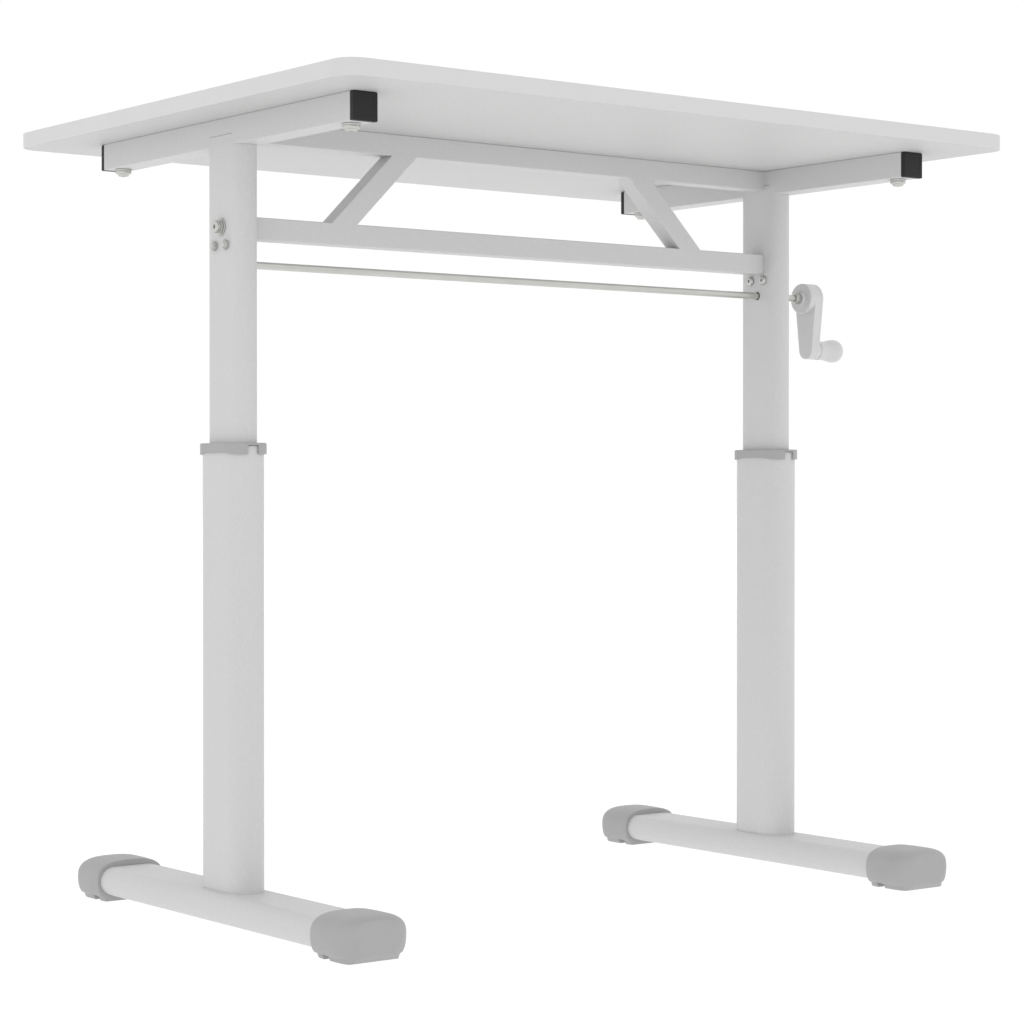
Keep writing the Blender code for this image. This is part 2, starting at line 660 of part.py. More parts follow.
def make_lead_screw(side, word):
    """The screw, drawn at its thread's outer size, and the miter gear on its journal."""
    axis = f"lead_screw_axis_{word}"
    shoulder = GEARBOX_BOTTOM + 0.0012 - GAP
    top = DRIVE_Z - 0.0050
    axis_place = (side * LEG_X, COLUMN_Y, DRIVE_Z)
    profile = [
        (SCREW_RADIUS - 0.0015, SCREW_BOTTOM - DRIVE_Z),
        (SCREW_RADIUS, SCREW_BOTTOM - DRIVE_Z + 0.0015),
        (SCREW_RADIUS, shoulder - DRIVE_Z),
        (SCREW_JOURNAL_RADIUS, shoulder - DRIVE_Z),
        (SCREW_JOURNAL_RADIUS, top - DRIVE_Z),
    ]
    add_object(f"lead_screw_{word}", turned(profile, closed=False), "steel", axis_place,
               parent=axis)
    half_tooth = math.pi / GEAR_TEETH

    def bore(z, steps):
        return circle(SCREW_JOURNAL_RADIUS + GAP, z, steps, -0.30 * 2 * math.pi / GEAR_TEETH)

    add_object(f"screw_gear_{word}", bevel_gear(bore), "steel", axis_place,
               (0, 0, half_tooth), axis)


def make_nut_and_post(side, word):
    """The post that stands in the lower column, and the nut that the screw turns in."""
    place = (side * LEG_X, COLUMN_Y, 0)
    inner = POST_RADIUS - POST_WALL
    plate_radius = LOWER_RADIUS - LOWER_WALL - GAP
    post = turned([
        (inner, POST_BOTTOM),
        (plate_radius, POST_BOTTOM),
        (plate_radius, POST_BOTTOM + 0.005),
        (POST_RADIUS, POST_BOTTOM + 0.005),
        (POST_RADIUS, POST_TOP),
        (inner, POST_TOP),
    ])
    add_object(f"nut_post_{word}", post, "steel", place)
    bore = SCREW_RADIUS + 0.0001
    nut = turned([
        (bore, POST_TOP - 0.014),
        (inner - GAP, POST_TOP - 0.014),
        (inner - GAP, POST_TOP + GAP),
        (0.0100, POST_TOP + GAP),
        (0.0100, POST_TOP + 0.006),
        (0.0080, POST_TOP + 0.006),
        (0.0080, POST_TOP + 0.018),
        (bore, POST_TOP + 0.018),
    ])
    add_object(f"lead_nut_{word}", nut, "brass", place)


def make_drive_rod():
    """The hexagonal rod from the left gearbox, across the desk, to the crank."""
    left_end = -LEG_X - 0.0090
    right_end = CRANK_ARM_OUT - 0.0055
    rod = loft([hexagon(ROD_FLATS, left_end), hexagon(ROD_FLATS, right_end)])
    place = (0, COLUMN_Y, DRIVE_Z)
    add_object("drive_rod", rod, "steel", place, ALONG_X, "crank_axis")

    def bore(z, steps):
        ring = hexagon(ROD_FLATS + 2 * GAP, z, steps)
        # the ring starts half a step back, like the tooth rings that it faces
        return ring[-1:] + ring[:-1]

    for side, word in ((-1, "left"), (1, "right")):
        gear_place = (side * LEG_X, COLUMN_Y, DRIVE_Z)
        add_object(f"rod_gear_{word}", bevel_gear(bore), "steel", gear_place, ALONG_X,
                   "crank_axis")


# ---- crank --------------------------------------------------------------------------------
def arm_outline(z, inset):
    """Two circles joined by their tangents; the small one is CRANK_ARM_LENGTH towards +X."""
    big, small = CRANK_HUB_RADIUS - inset, CRANK_END_RADIUS - inset
    lean = math.acos((big - small) / CRANK_ARM_LENGTH)
    steps = 10
    points = []
    for i in range(steps + 1):
        angle = lean + (2 * math.pi - 2 * lean) * i / steps
        points.append((big * math.cos(angle), big * math.sin(angle), z))
    for i in range(steps + 1):
        angle = -lean + 2 * lean * i / steps
        x = CRANK_ARM_LENGTH + small * math.cos(angle)
        points.append((x, small * math.sin(angle), z))
    return points


def make_crank():
    """The arm hangs from the rod's end; its own X axis points down and its Z axis outward."""
    place = (0, COLUMN_Y, DRIVE_Z)
    edge = 0.0012
    rings = [
        arm_outline(CRANK_ARM_IN, edge),
        arm_outline(CRANK_ARM_IN + edge, 0),
        arm_outline(CRANK_ARM_OUT - edge, 0),
        arm_outline(CRANK_ARM_OUT, edge),
    ]
    arm = add_object("crank_arm", loft(rings), "white", place, ALONG_X, "crank_axis")
    hub_profile = [
        (0.0080, CRANK_BOSS_IN),
        (0.0080, CRANK_HUB_IN),
        (CRANK_HUB_RADIUS - edge, CRANK_HUB_IN),
        (CRANK_HUB_RADIUS, CRANK_HUB_IN + edge),
        (CRANK_HUB_RADIUS, CRANK_ARM_IN + 0.004),
    ]
    hub = turned(hub_profile, closed=False)
    boolean(arm, add_cutter("crank_hub", hub, place, ALONG_X), "UNION")
    boss = cylinder(0.0098, CRANK_ARM_OUT - 0.004, CRANK_END_OUT, ROUND)
    pin_place = (0, COLUMN_Y, CRANK_PIN_Z)
    boolean(arm, add_cutter("crank_end_boss", boss, pin_place, ALONG_X), "UNION")
    rod_seat = CRANK_ARM_OUT - 0.0050
    socket = loft([hexagon(ROD_FLATS + 2 * GAP, CRANK_BOSS_IN - 0.005),
                   hexagon(ROD_FLATS + 2 * GAP, rod_seat)])
    boolean(arm, add_cutter("crank_rod_socket", socket, place, ALONG_X))
    screw_hole = cylinder(0.0023, rod_seat - 0.001, CRANK_ARM_OUT + 0.005)
    boolean(arm, add_cutter("crank_screw_hole", screw_hole, place, ALONG_X))
    pin_bore = cylinder(0.0043, CRANK_ARM_IN + 0.003, CRANK_ARM_OUT + 0.010, 16)
    boolean(arm, add_cutter("crank_pin_bore", pin_bore, pin_place, ALONG_X))

    bore_flats = ROD_FLATS + 2 * GAP
    nut_start = CRANK_BOSS_IN - GAP - CRANK_NUT_LENGTH
    nut = loft([
        hexagon(0.0108, nut_start),
        hexagon(0.0108, CRANK_BOSS_IN - GAP),
        hexagon(bore_flats, CRANK_BOSS_IN - GAP),
        hexagon(bore_flats, nut_start),
    ], closed=True)
    add_object("crank_nut", nut, "steel", place, ALONG_X, "crank_axis")
    screw_place = (CRANK_ARM_OUT + GAP, COLUMN_Y, DRIVE_Z)
    socket_bolt("crank_screw", 0.0050, 0.0028, (0, 0), (0.0020, 0.0045), 0.003,
                screw_place, ALONG_X, "crank_axis")

    pin_profile = [(0.0040, CRANK_ARM_IN + 0.0035), (0.0040, GRIP_END - 0.010)]
    pin = turned(pin_profile, 16, closed=False)
    add_object("grip_pin", pin, "steel", pin_place, ALONG_X, "crank_axis")
    grip_profile = [
        (0.0043, GRIP_START),
        (0.0099, GRIP_START),
        (0.0102, GRIP_START + 0.0005),
        (0.0102, GRIP_START + 0.0095),
        (0.0107, GRIP_START + 0.0130),
        (0.0118, GRIP_START + 0.0180),
        (0.0125, GRIP_START + 0.0230),
        (0.0122, GRIP_END - 0.0070),
        (0.0104, GRIP_END - 0.0033),
        (0.0070, GRIP_END - 0.0011),
        (0.0025, GRIP_END),
    ]
    blind = [(0.0043, GRIP_END - 0.0090)]
    add_object("crank_grip", turned(blind + grip_profile, closed=False), "white", pin_place,
               ALONG_X, "grip_axis")


def make_column_fasteners(side, word):
    """The bolt that holds the lower beam, and the two long bolts and nuts that hold the gearbox."""
    outer_face = side * (LEG_X + UPPER_RADIUS + GAP)
    inner_face = side * (LEG_X - UPPER_RADIUS - GAP)
    outward = ALONG_X if side > 0 else TOWARDS_MINUS_X
    inward = TOWARDS_MINUS_X if side > 0 else ALONG_X
    socket_bolt(f"beam_bolt_{word}", 0.0054, 0.0055, (0.0082, 0.0018), (0.003, 0.044), 0.004,
                (outer_face, COLUMN_Y, LOWER_BEAM_Z), outward, "height_axis")
    shank = 2 * UPPER_RADIUS + 2 * GAP + GEARBOX_NUT_HEIGHT + 0.0012
    for way, way_word in ((-1, "front"), (1, "rear")):
        y = COLUMN_Y + way * GEARBOX_BOLT_SPACING / 2
        socket_bolt(f"gearbox_bolt_{way_word}_{word}", 0.0050, 0.0032, (0, 0), (0.0025, shank),
                    0.003, (inner_face, y, GEARBOX_BOLT_Z), inward, "height_axis")
        nut = loft([
            hexagon(0.0080, 0, SMALL_ROUND),
            hexagon(0.0080, GEARBOX_NUT_HEIGHT, SMALL_ROUND),
            circle(0.00265, GEARBOX_NUT_HEIGHT, SMALL_ROUND),
            circle(0.00265, 0, SMALL_ROUND),
        ], closed=True)
        add_object(f"gearbox_nut_{way_word}_{word}", nut, "steel",
                   (outer_face, y, GEARBOX_BOLT_Z), outward, "height_axis")


def main():
    clear_scene()
    FINISH.update(finishes())
    axis_empty("height_axis", (0, COLUMN_Y, 0))
    axis_empty("crank_axis", (0, COLUMN_Y, DRIVE_Z))
    axis_empty("grip_axis", (CRANK_ARM_OUT, COLUMN_Y, CRANK_PIN_Z))
    axis_empty("lead_screw_axis_left", (-LEG_X, COLUMN_Y, DRIVE_Z))
    axis_empty("lead_screw_axis_right", (LEG_X, COLUMN_Y, DRIVE_Z))
    make_tabletop()
    make_beams()
    for side, word in ((-1, "left"), (1, "right")):
        make_side_rail(side, word)
        make_rail_ends(side, word)
        make_brace(side, word)
        make_upper_column(side, word)
        make_guide_bush(side, word)
        make_lower_column(side, word)
        make_collar(side, word)
        make_foot_tube(side, word)
        make_foot_caps(side, word)
        make_gearbox(side, word)
        make_lead_screw(side, word)
        make_nut_and_post(side, word)
        make_column_fasteners(side, word)
    make_drive_rod()
    make_crank()


main()
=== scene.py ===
"""Looks of a crank-driven height adjustable desk, built around its CAD frame.

Every piece is modelled in the frame of the CAD, in metres, from the boxes of the CAD nodes. The
textures of the materials use object coordinates, so their grain has its real size and moves
with its piece.
"""

import collections
import math

import bmesh
import bpy
from mathutils import Matrix, Vector


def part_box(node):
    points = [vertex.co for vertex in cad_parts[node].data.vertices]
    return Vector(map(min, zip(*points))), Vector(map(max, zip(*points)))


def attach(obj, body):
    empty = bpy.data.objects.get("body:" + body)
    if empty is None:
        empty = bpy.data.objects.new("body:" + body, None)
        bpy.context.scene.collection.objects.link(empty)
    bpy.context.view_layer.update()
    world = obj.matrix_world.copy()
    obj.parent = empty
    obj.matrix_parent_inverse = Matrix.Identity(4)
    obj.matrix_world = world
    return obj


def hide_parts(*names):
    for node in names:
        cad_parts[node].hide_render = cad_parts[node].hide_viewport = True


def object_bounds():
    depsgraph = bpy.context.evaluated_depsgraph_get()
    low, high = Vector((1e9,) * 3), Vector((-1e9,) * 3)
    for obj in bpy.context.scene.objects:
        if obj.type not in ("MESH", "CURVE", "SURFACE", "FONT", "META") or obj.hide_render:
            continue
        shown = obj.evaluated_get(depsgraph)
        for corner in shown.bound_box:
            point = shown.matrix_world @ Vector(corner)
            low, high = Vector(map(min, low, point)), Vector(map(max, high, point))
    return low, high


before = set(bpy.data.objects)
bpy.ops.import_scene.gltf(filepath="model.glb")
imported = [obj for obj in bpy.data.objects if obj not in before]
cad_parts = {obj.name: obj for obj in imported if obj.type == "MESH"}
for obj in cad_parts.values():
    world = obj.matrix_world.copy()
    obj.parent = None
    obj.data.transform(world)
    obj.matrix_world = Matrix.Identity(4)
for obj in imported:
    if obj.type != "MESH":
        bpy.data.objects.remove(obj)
cad_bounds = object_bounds()

SIDES = ((-1, "left"), (1, "right"))
X, Y, Z = Vector((1, 0, 0)), Vector((0, 1, 0)), Vector((0, 0, 1))
TUBE_ARC = 28  # steps round half of an oval tube
ROUND = 48  # steps round a turned piece
CLOSE = 0.0003  # the gap between CAD nodes, which a painted or welded piece fills
SEAT = 0.0001  # the gap left under a bolt, washer or nut


# ---- places read from the CAD -------------------------------------------------------------
Box = collections.namedtuple("Box", "low high middle size")


def box_of(node):
    low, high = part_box(node)
    return Box(low, high, (low + high) / 2, high - low)


TOP = box_of("tabletop")
COLUMN_Y = box_of("drive_rod").middle.y
DRIVE_Z = box_of("drive_rod").middle.z
GRIP_Z = box_of("crank_grip").middle.z


# ---- outlines: lists of (a, b) about the origin, counter-clockwise -------------------------
def circle(radius, steps=ROUND, phase=0.0):
    turns = [phase + 2 * math.pi * i / steps for i in range(steps)]
    return [(radius * math.cos(t), radius * math.sin(t)) for t in turns]


def hexagon(across_flats, steps=ROUND, corner_cut=0.0):
    """A hexagon with a corner on +a, its corners cut back to a round of a smaller radius."""
    points = []
    limit = across_flats / math.sqrt(3) * (1 - corner_cut)
    for i in range(steps):
        angle = 2 * math.pi * i / steps
        from_side = (angle % (math.pi / 3)) - math.pi / 6
        radius = min(across_flats / 2 / math.cos(from_side), limit)
        points.append((radius * math.cos(angle), radius * math.sin(angle)))
    return points


def obround(half_straight, radius, arc_steps=TUBE_ARC, flat_steps=1):
    """Two flats along b joined by half circles."""
    points = []
    for turn in (1, -1):
        for i in range(flat_steps):
            points.append((turn * radius, turn * half_straight * (2 * i / flat_steps - 1)))
        for i in range(arc_steps):
            angle = math.pi * i / arc_steps
            a = turn * radius * math.cos(angle)
            points.append((a, turn * (half_straight + radius * math.sin(angle))))
    return points


def rounded(width, depth, radius, steps=6):
    """A rectangle with rounded corners."""
    points = []
    for corner, (sa, sb) in enumerate(((1, -1), (1, 1), (-1, 1), (-1, -1))):
        for i in range(steps + 1):
            angle = math.pi / 2 * (corner - 1 + i / steps)
            a = sa * (width / 2 - radius) + radius * math.cos(angle)
            b = sb * (depth / 2 - radius) + radius * math.sin(angle)
            points.append((a, b))
    return points


def soft_ends(outline, low, high, edge, steps=4):
    """Rings from low to high whose ends are rounded by edge; outline takes an inset."""
    rings = []
    for i in range(steps + 1):
        angle = math.pi / 2 * i / steps
        inset = edge * (1 - math.sin(angle))
        rings.append([(a, b, low + edge * (1 - math.cos(angle))) for a, b in outline(inset)])
    for i in range(steps + 1):
        angle = math.pi / 2 * (1 - i / steps)
        inset = edge * (1 - math.sin(angle))
        rings.append([(a, b, high - edge * (1 - math.cos(angle))) for a, b in outline(inset)])
    return rings


def at(outline, height):
    """A flat ring: the outline at one height."""
    return [(a, b, height) for a, b in outline]


# ---- solids -------------------------------------------------------------------------------
def loft(rings, closed=False):
    """Skins rings with equal numbers of points; the ends are filled, or joined if closed."""
    bm = bmesh.new()
    loops = [[bm.verts.new(point) for point in ring] for ring in rings]
    pairs = list(zip(loops, loops[1:]))
    if closed:
        pairs.append((loops[-1], loops[0]))
    count = len(rings[0])
    for lower, upper in pairs:
        for i in range(count):
            j = (i + 1) % count
            bm.faces.new((lower[i], lower[j], upper[j], upper[i]))
    if not closed:
        bm.faces.new(loops[0])
        bm.faces.new(loops[-1])
    return bm


def turned(profile, steps=ROUND, closed=False):
    """A solid of revolution from (radius, height) pairs."""
    return loft([at(circle(radius, steps), height) for radius, height in profile], closed)


def frame_at(centre, a_axis, b_axis):
    """The matrix that takes an outline's a, b and height to the frame of the CAD."""
    rows = Matrix((a_axis, b_axis, a_axis.cross(b_axis))).transposed()
    return Matrix.Translation(Vector(centre)) @ rows.to_4x4()


def upright(centre):
    """Outline a and b run along X and Y, and heights grow upwards."""
    return frame_at(centre, X, Y)


def along_x(centre, way=1):
    """Outline a points down, and heights grow towards way along X."""
    return frame_at(centre, -Z, Y) if way > 0 else frame_at(centre, Z, Y)


def along_y(centre, way=1):
    """Outline a points up, and heights grow towards way along Y."""
    return frame_at(centre, Z, way * X)


def raw_object(name, bm, matrix):
    """An object in the scene, with no material or body yet."""
    bmesh.ops.transform(bm, matrix=matrix, verts=bm.verts)
    bmesh.ops.recalc_face_normals(bm, faces=bm.faces)
    mesh = bpy.data.meshes.new(name)
    bm.to_mesh(mesh)
    bm.free()
    obj = bpy.data.objects.new(name, mesh)
    bpy.context.scene.collection.objects.link(obj)
    return obj


def apply_modifiers(obj):
    graph = bpy.context.evaluated_depsgraph_get()
    mesh = bpy.data.meshes.new_from_object(obj.evaluated_get(graph))
    obj.modifiers.clear()
    obj.data = mesh


def cut(obj, bm, matrix, operation="DIFFERENCE"):
    """Cuts a solid out of obj, or joins it on, and applies the result."""
    tool = raw_object("tool", bm, matrix)
    modifier = obj.modifiers.new("cut", "BOOLEAN")
    modifier.operation = operation
    modifier.solver = "EXACT"
    modifier.object = tool
    bpy.context.view_layer.update()
    apply_modifiers(obj)
    bpy.data.objects.remove(tool, do_unlink=True)


def soften(obj, width, segments=2, angle=35):
    """Bevels the edges that are sharper than angle, in degrees."""
    modifier = obj.modifiers.new("soften", "BEVEL")
    modifier.width = width
    modifier.segments = segments
    modifier.limit_method = "ANGLE"
    modifier.angle_limit = math.radians(angle)
    bpy.context.view_layer.update()
    apply_modifiers(obj)


def finish_piece(obj, look, body, replaces=(), sharp=40):
    """Shades a piece, gives it its material, and lets it ride on its body."""
    mesh = obj.data
    mesh.materials.clear()
    mesh.materials.append(look)
    mesh.shade_smooth()
    mesh.set_sharp_from_angle(angle=math.radians(sharp))
    weighted = obj.modifiers.new("weighted", "WEIGHTED_NORMAL")
    weighted.keep_sharp = True
    weighted.weight = 80
    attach(obj, body)
    if replaces:
        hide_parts(*replaces)
    return obj


def piece(name, bm, matrix, look, body, replaces=(), sharp=40):
    return finish_piece(raw_object(name, bm, matrix), look, body, replaces, sharp)


# ---- materials ----------------------------------------------------------------------------
class Look:
    """A Principled material whose texture nodes are added by the calls below."""

    def __init__(self, name, colour, roughness, metallic=0.0, **sockets):
        self.material = bpy.data.materials.new(name)
        self.material.use_nodes = True
        self.nodes = self.material.node_tree.nodes
        self.links = self.material.node_tree.links
        self.shader = self.nodes["Principled BSDF"]
        self.place = self.nodes.new("ShaderNodeTexCoord").outputs["Object"]
        self.bump = None
        self.shader.inputs["Base Color"].default_value = (*colour, 1)
        self.shader.inputs["Roughness"].default_value = roughness
        self.shader.inputs["Metallic"].default_value = metallic
        for socket, value in sockets.items():
            self.shader.inputs[socket.replace("_", " ")].default_value = value

    def stretched(self, scale):
        node = self.nodes.new("ShaderNodeMapping")
        node.inputs["Scale"].default_value = scale
        self.links.new(self.place, node.inputs["Vector"])
        return node.outputs["Vector"]

    def noise(self, size, detail=2.0, stretch=None):
        """Noise whose blotches are about size metres across."""
        node = self.nodes.new("ShaderNodeTexNoise")
        node.inputs["Scale"].default_value = 1.0 / size
        node.inputs["Detail"].default_value = detail
        source = self.stretched(stretch) if stretch else self.place
        self.links.new(source, node.inputs["Vector"])
        return node.outputs["Fac"]

    def specks(self, size, share):
        """1 inside small grains, 0 between them; share is how much they cover."""
        node = self.nodes.new("ShaderNodeTexVoronoi")
        node.inputs["Scale"].default_value = 1.0 / size
        self.links.new(self.place, node.inputs["Vector"])
        return self.remap(node.outputs["Distance"], 0.5 * share, 0.9 * share, 1.0, 0.0)

    def remap(self, source, low, high, to_low, to_high):
        node = self.nodes.new("ShaderNodeMapRange")
        for socket, value in zip(("From Min", "From Max", "To Min", "To Max"),
                                 (low, high, to_low, to_high)):
            node.inputs[socket].default_value = value
        self.links.new(source, node.inputs["Value"])
        return node.outputs["Result"]

    def tint(self, source, colour, low, high, most=1.0):
        """Mixes colour in where source runs from low to high."""
        mix = self.nodes.new("ShaderNodeMix")
        mix.data_type = "RGBA"
        old = self.shader.inputs["Base Color"]
        if old.is_linked:
            self.links.new(old.links[0].from_socket, mix.inputs["A"])
        else:
            mix.inputs["A"].default_value = old.default_value
        mix.inputs["B"].default_value = (*colour, 1)
        factor = self.remap(source, low, high, 0.0, most)
        self.links.new(factor, mix.inputs["Factor"])
        self.links.new(mix.outputs["Result"], old)
        return self

    def vary_roughness(self, source, low, high):
        self.links.new(self.remap(source, 0.3, 0.7, low, high), self.shader.inputs["Roughness"])
        return self

    def relief(self, source, depth, strength=1.0):
        """Adds bump, depth metres deep."""
        node = self.nodes.new("ShaderNodeBump")
        node.inputs["Distance"].default_value = depth
        node.inputs["Strength"].default_value = strength
        self.links.new(source, node.inputs["Height"])
        if self.bump:
            self.links.new(self.bump, node.inputs["Normal"])
        self.bump = node.outputs["Normal"]
        self.links.new(self.bump, self.shader.inputs["Normal"])
        return self


def grey(level):
    return (level, level, level)


def make_looks():
    looks = {}

    paint = Look("powder_coat", grey(0.597), 0.46, Specular_IOR_Level=0.35)
    paint.tint(paint.noise(0.11, 3), grey(0.584), 0.42, 0.72, 0.55)
    paint.tint(paint.noise(0.0024, 4), grey(0.660), 0.50, 0.72, 0.45)
    paint.tint(paint.noise(0.0013, 3), grey(0.565), 0.55, 0.75, 0.35)
    paint.vary_roughness(paint.noise(0.004, 3), 0.40, 0.54)
    paint.relief(paint.noise(0.0016, 2), 0.00006, 0.55)
    paint.relief(paint.noise(0.0005, 2), 0.00002, 0.5)
    looks["paint"] = paint.material

    under = Look("melamine_speckled", grey(0.574), 0.52, Specular_IOR_Level=0.35)
    under.tint(under.noise(0.16, 3), grey(0.588), 0.40, 0.70, 0.5)
    under.tint(under.noise(0.0030, 4), grey(0.560), 0.50, 0.68, 0.75)
    under.tint(under.noise(0.0019, 3), grey(0.700), 0.54, 0.72, 0.55)
    under.tint(under.specks(0.0042, 0.42), (0.57, 0.565, 0.52), 0.2, 0.9, 0.45)
    under.vary_roughness(under.noise(0.003, 3), 0.46, 0.60)
    under.relief(under.noise(0.0012, 3), 0.00008, 0.6)
    looks["under"] = under.material

    upper = Look("melamine_smooth", grey(0.650), 0.42, Specular_IOR_Level=0.4)
    upper.tint(upper.noise(0.22, 3), grey(0.630), 0.40, 0.70, 0.5)
    upper.tint(upper.noise(0.0016, 3), grey(0.690), 0.54, 0.72, 0.35)
    upper.vary_roughness(upper.noise(0.0025, 3), 0.36, 0.50)
    upper.relief(upper.noise(0.0007, 3), 0.00004, 0.5)
    looks["upper"] = upper.material

    band = Look("edge_band", grey(0.642), 0.38, Specular_IOR_Level=0.45)
    band.tint(band.noise(0.03, 3), grey(0.620), 0.42, 0.70, 0.5)
    band.vary_roughness(band.noise(0.002, 2, (1, 1, 8)), 0.33, 0.46)
    band.relief(band.noise(0.0009, 2), 0.00003, 0.4)
    looks["band"] = band.material

    plastic = Look("grey_moulded", grey(0.385), 0.5, Specular_IOR_Level=0.4)
    plastic.tint(plastic.noise(0.02, 3), grey(0.365), 0.42, 0.70, 0.6)
    plastic.tint(plastic.noise(0.0011, 3), grey(0.430), 0.54, 0.72, 0.35)
    plastic.vary_roughness(plastic.noise(0.0015, 2), 0.44, 0.60)
    plastic.relief(plastic.noise(0.0006, 3), 0.00005, 0.7)
    looks["grey"] = plastic.material

    black = Look("black_moulded", grey(0.012), 0.48, Specular_IOR_Level=0.35)
    black.tint(black.noise(0.0012, 3), grey(0.022), 0.52, 0.72, 0.5)
    black.vary_roughness(black.noise(0.0014, 2), 0.42, 0.58)
    black.relief(black.noise(0.0006, 3), 0.00005, 0.7)
    looks["black"] = black.material

    white = Look("white_moulded", grey(0.630), 0.36, Specular_IOR_Level=0.5)
    white.tint(white.noise(0.02, 3), grey(0.605), 0.42, 0.70, 0.5)
    white.vary_roughness(white.noise(0.002, 2), 0.30, 0.44)
    white.relief(white.noise(0.0011, 2), 0.00004, 0.5)
    looks["white"] = white.material

    zinc = Look("zinc_plate", (0.58, 0.578, 0.56), 0.38, 1.0)
    zinc.tint(zinc.noise(0.004, 3), (0.51, 0.508, 0.49), 0.42, 0.70, 0.6)
    zinc.tint(zinc.noise(0.0009, 3), (0.68, 0.68, 0.665), 0.54, 0.72, 0.5)
    zinc.vary_roughness(zinc.noise(0.0016, 3), 0.26, 0.46)
    zinc.relief(zinc.noise(0.0005, 2), 0.00002, 0.5)
    looks["zinc"] = zinc.material

    rod = Look("drawn_steel", (0.58, 0.58, 0.555), 0.46, 0.85)
    rod.tint(rod.noise(0.0006, 3, (0.02, 1, 1)), (0.68, 0.68, 0.655), 0.45, 0.72, 0.6)
    rod.tint(rod.noise(0.03, 3), (0.53, 0.53, 0.50), 0.45, 0.72, 0.5)
    rod.vary_roughness(rod.noise(0.0005, 3, (0.03, 1, 1)), 0.30, 0.50)
    rod.relief(rod.noise(0.0004, 2, (0.02, 1, 1)), 0.00002, 0.5)
    looks["rod"] = rod.material

    brass = Look("turned_brass", (0.72, 0.55, 0.26), 0.32, 1.0)
    brass.tint(brass.noise(0.002, 3), (0.60, 0.44, 0.20), 0.42, 0.70, 0.6)
    brass.vary_roughness(brass.noise(0.001, 3, (1, 1, 12)), 0.25, 0.42)
    brass.relief(brass.noise(0.0004, 2, (1, 1, 10)), 0.00002, 0.5)
    looks["brass"] = brass.material

    nylon = Look("nylon", (0.70, 0.69, 0.65), 0.46, Specular_IOR_Level=0.4)
    nylon.tint(nylon.noise(0.008, 3), (0.64, 0.63, 0.58), 0.42, 0.70, 0.6)
    nylon.vary_roughness(nylon.noise(0.0015, 2), 0.40, 0.56)
    nylon.relief(nylon.noise(0.0008, 3), 0.00004, 0.6)
    looks["nylon"] = nylon.material
    return looks


LOOKS = make_looks()


# ---- tabletop -----------------------------------------------------------------------------
TOP_CORNER, TOP_CORNER_STEPS = 0.020, 16
BOARD_EASE = 0.0001
BAND_THICKNESS = 0.0010
BAND_JOINT = 0.00006  # the hairline between the board and its band
BAND_BACK = 0.0006  # how far the band's back edges are set in from the faces
BAND_EDGE, BAND_EDGE_FLATTEN, BAND_EDGE_STEPS = 0.0015, 0.6, 6


def top_outline(inset):
    return rounded(TOP.size.x - 2 * inset, TOP.size.y - 2 * inset, TOP_CORNER - inset,
                   TOP_CORNER_STEPS)


def band_edge(face, way):
    """Rings of one rounded edge of the band, from its face to its side; way points inwards."""
    rings = []
    for i in range(BAND_EDGE_STEPS + 1):
        angle = math.pi / 2 * i / BAND_EDGE_STEPS
        inset = min(BAND_EDGE * (1 - math.sin(angle)), BAND_THICKNESS)
        rise = BAND_EDGE * (1 - math.cos(angle)) * BAND_EDGE_FLATTEN
        rings.append(at(top_outline(inset), face + way * rise))
    return rings


def make_tabletop():
    """The board, its speckled underside, and the edge band with a hairline joint round it."""
    bottom, top = TOP.low.z, TOP.high.z
    centre = upright((TOP.middle.x, TOP.middle.y, 0))

    def board_outline(inset):
        return top_outline(BAND_THICKNESS + BAND_JOINT + inset)

    board = raw_object("tabletop_board",
                       loft(soft_ends(board_outline, bottom, top, BOARD_EASE, 1)), centre)
    finish_piece(board, LOOKS["upper"], "top_frame", ["tabletop"])
    board.data.materials.append(LOOKS["under"])
    for face in board.data.polygons:
        if face.normal.z < -0.5:
            face.material_index = 1
    rings = band_edge(bottom, 1) + band_edge(top, -1)[::-1]
    rings.append(at(top_outline(BAND_THICKNESS), top - BAND_BACK))
    rings.append(at(top_outline(BAND_THICKNESS), bottom + BAND_BACK))
    piece("tabletop_edge_band", loft(rings, closed=True), centre, LOOKS["band"], "top_frame",
          sharp=50)


# ---- rails, beams and braces --------------------------------------------------------------
RAIL_WALL, RAIL_CORNER = 0.0022, 0.0009
BEAM_WALL, BEAM_CORNER = 0.0015, 0.0010
TUBE_EASE = 0.0003
TUBE_INNER_CORNER = 0.0005
NOTCH_DEPTH, NOTCH_PLAY = 0.0016, 0.00006
RAIL_HOLE = 0.0033
PLATE_SIDE, PLATE_THICKNESS, PLATE_INSET = 0.0166, 0.005, 0.0004
PLATE_BORE = 0.0033
BRACE_INNER, BRACE_INNER_CORNER = 0.017, 0.0006
BRACE_OVERLAP = 0.0013  # a welded and ground joint shows no line
BRACE_PROUD = 0.00008


def square_tube(size, wall, corner, low, high):
    """A square tube along its heights, with its cut ends eased."""
    def outer(inset):
        return rounded(size - 2 * inset, size - 2 * inset, corner, 5)

    inner = rounded(size - 2 * wall, size - 2 * wall, TUBE_INNER_CORNER, 5)
    rings = [
        at(outer(TUBE_EASE), low),
        at(outer(0), low + TUBE_EASE),
        at(outer(0), high - TUBE_EASE),
        at(outer(TUBE_EASE), high),
        at(inner, high),
        at(inner, low),
    ]
    return loft(rings, closed=True)


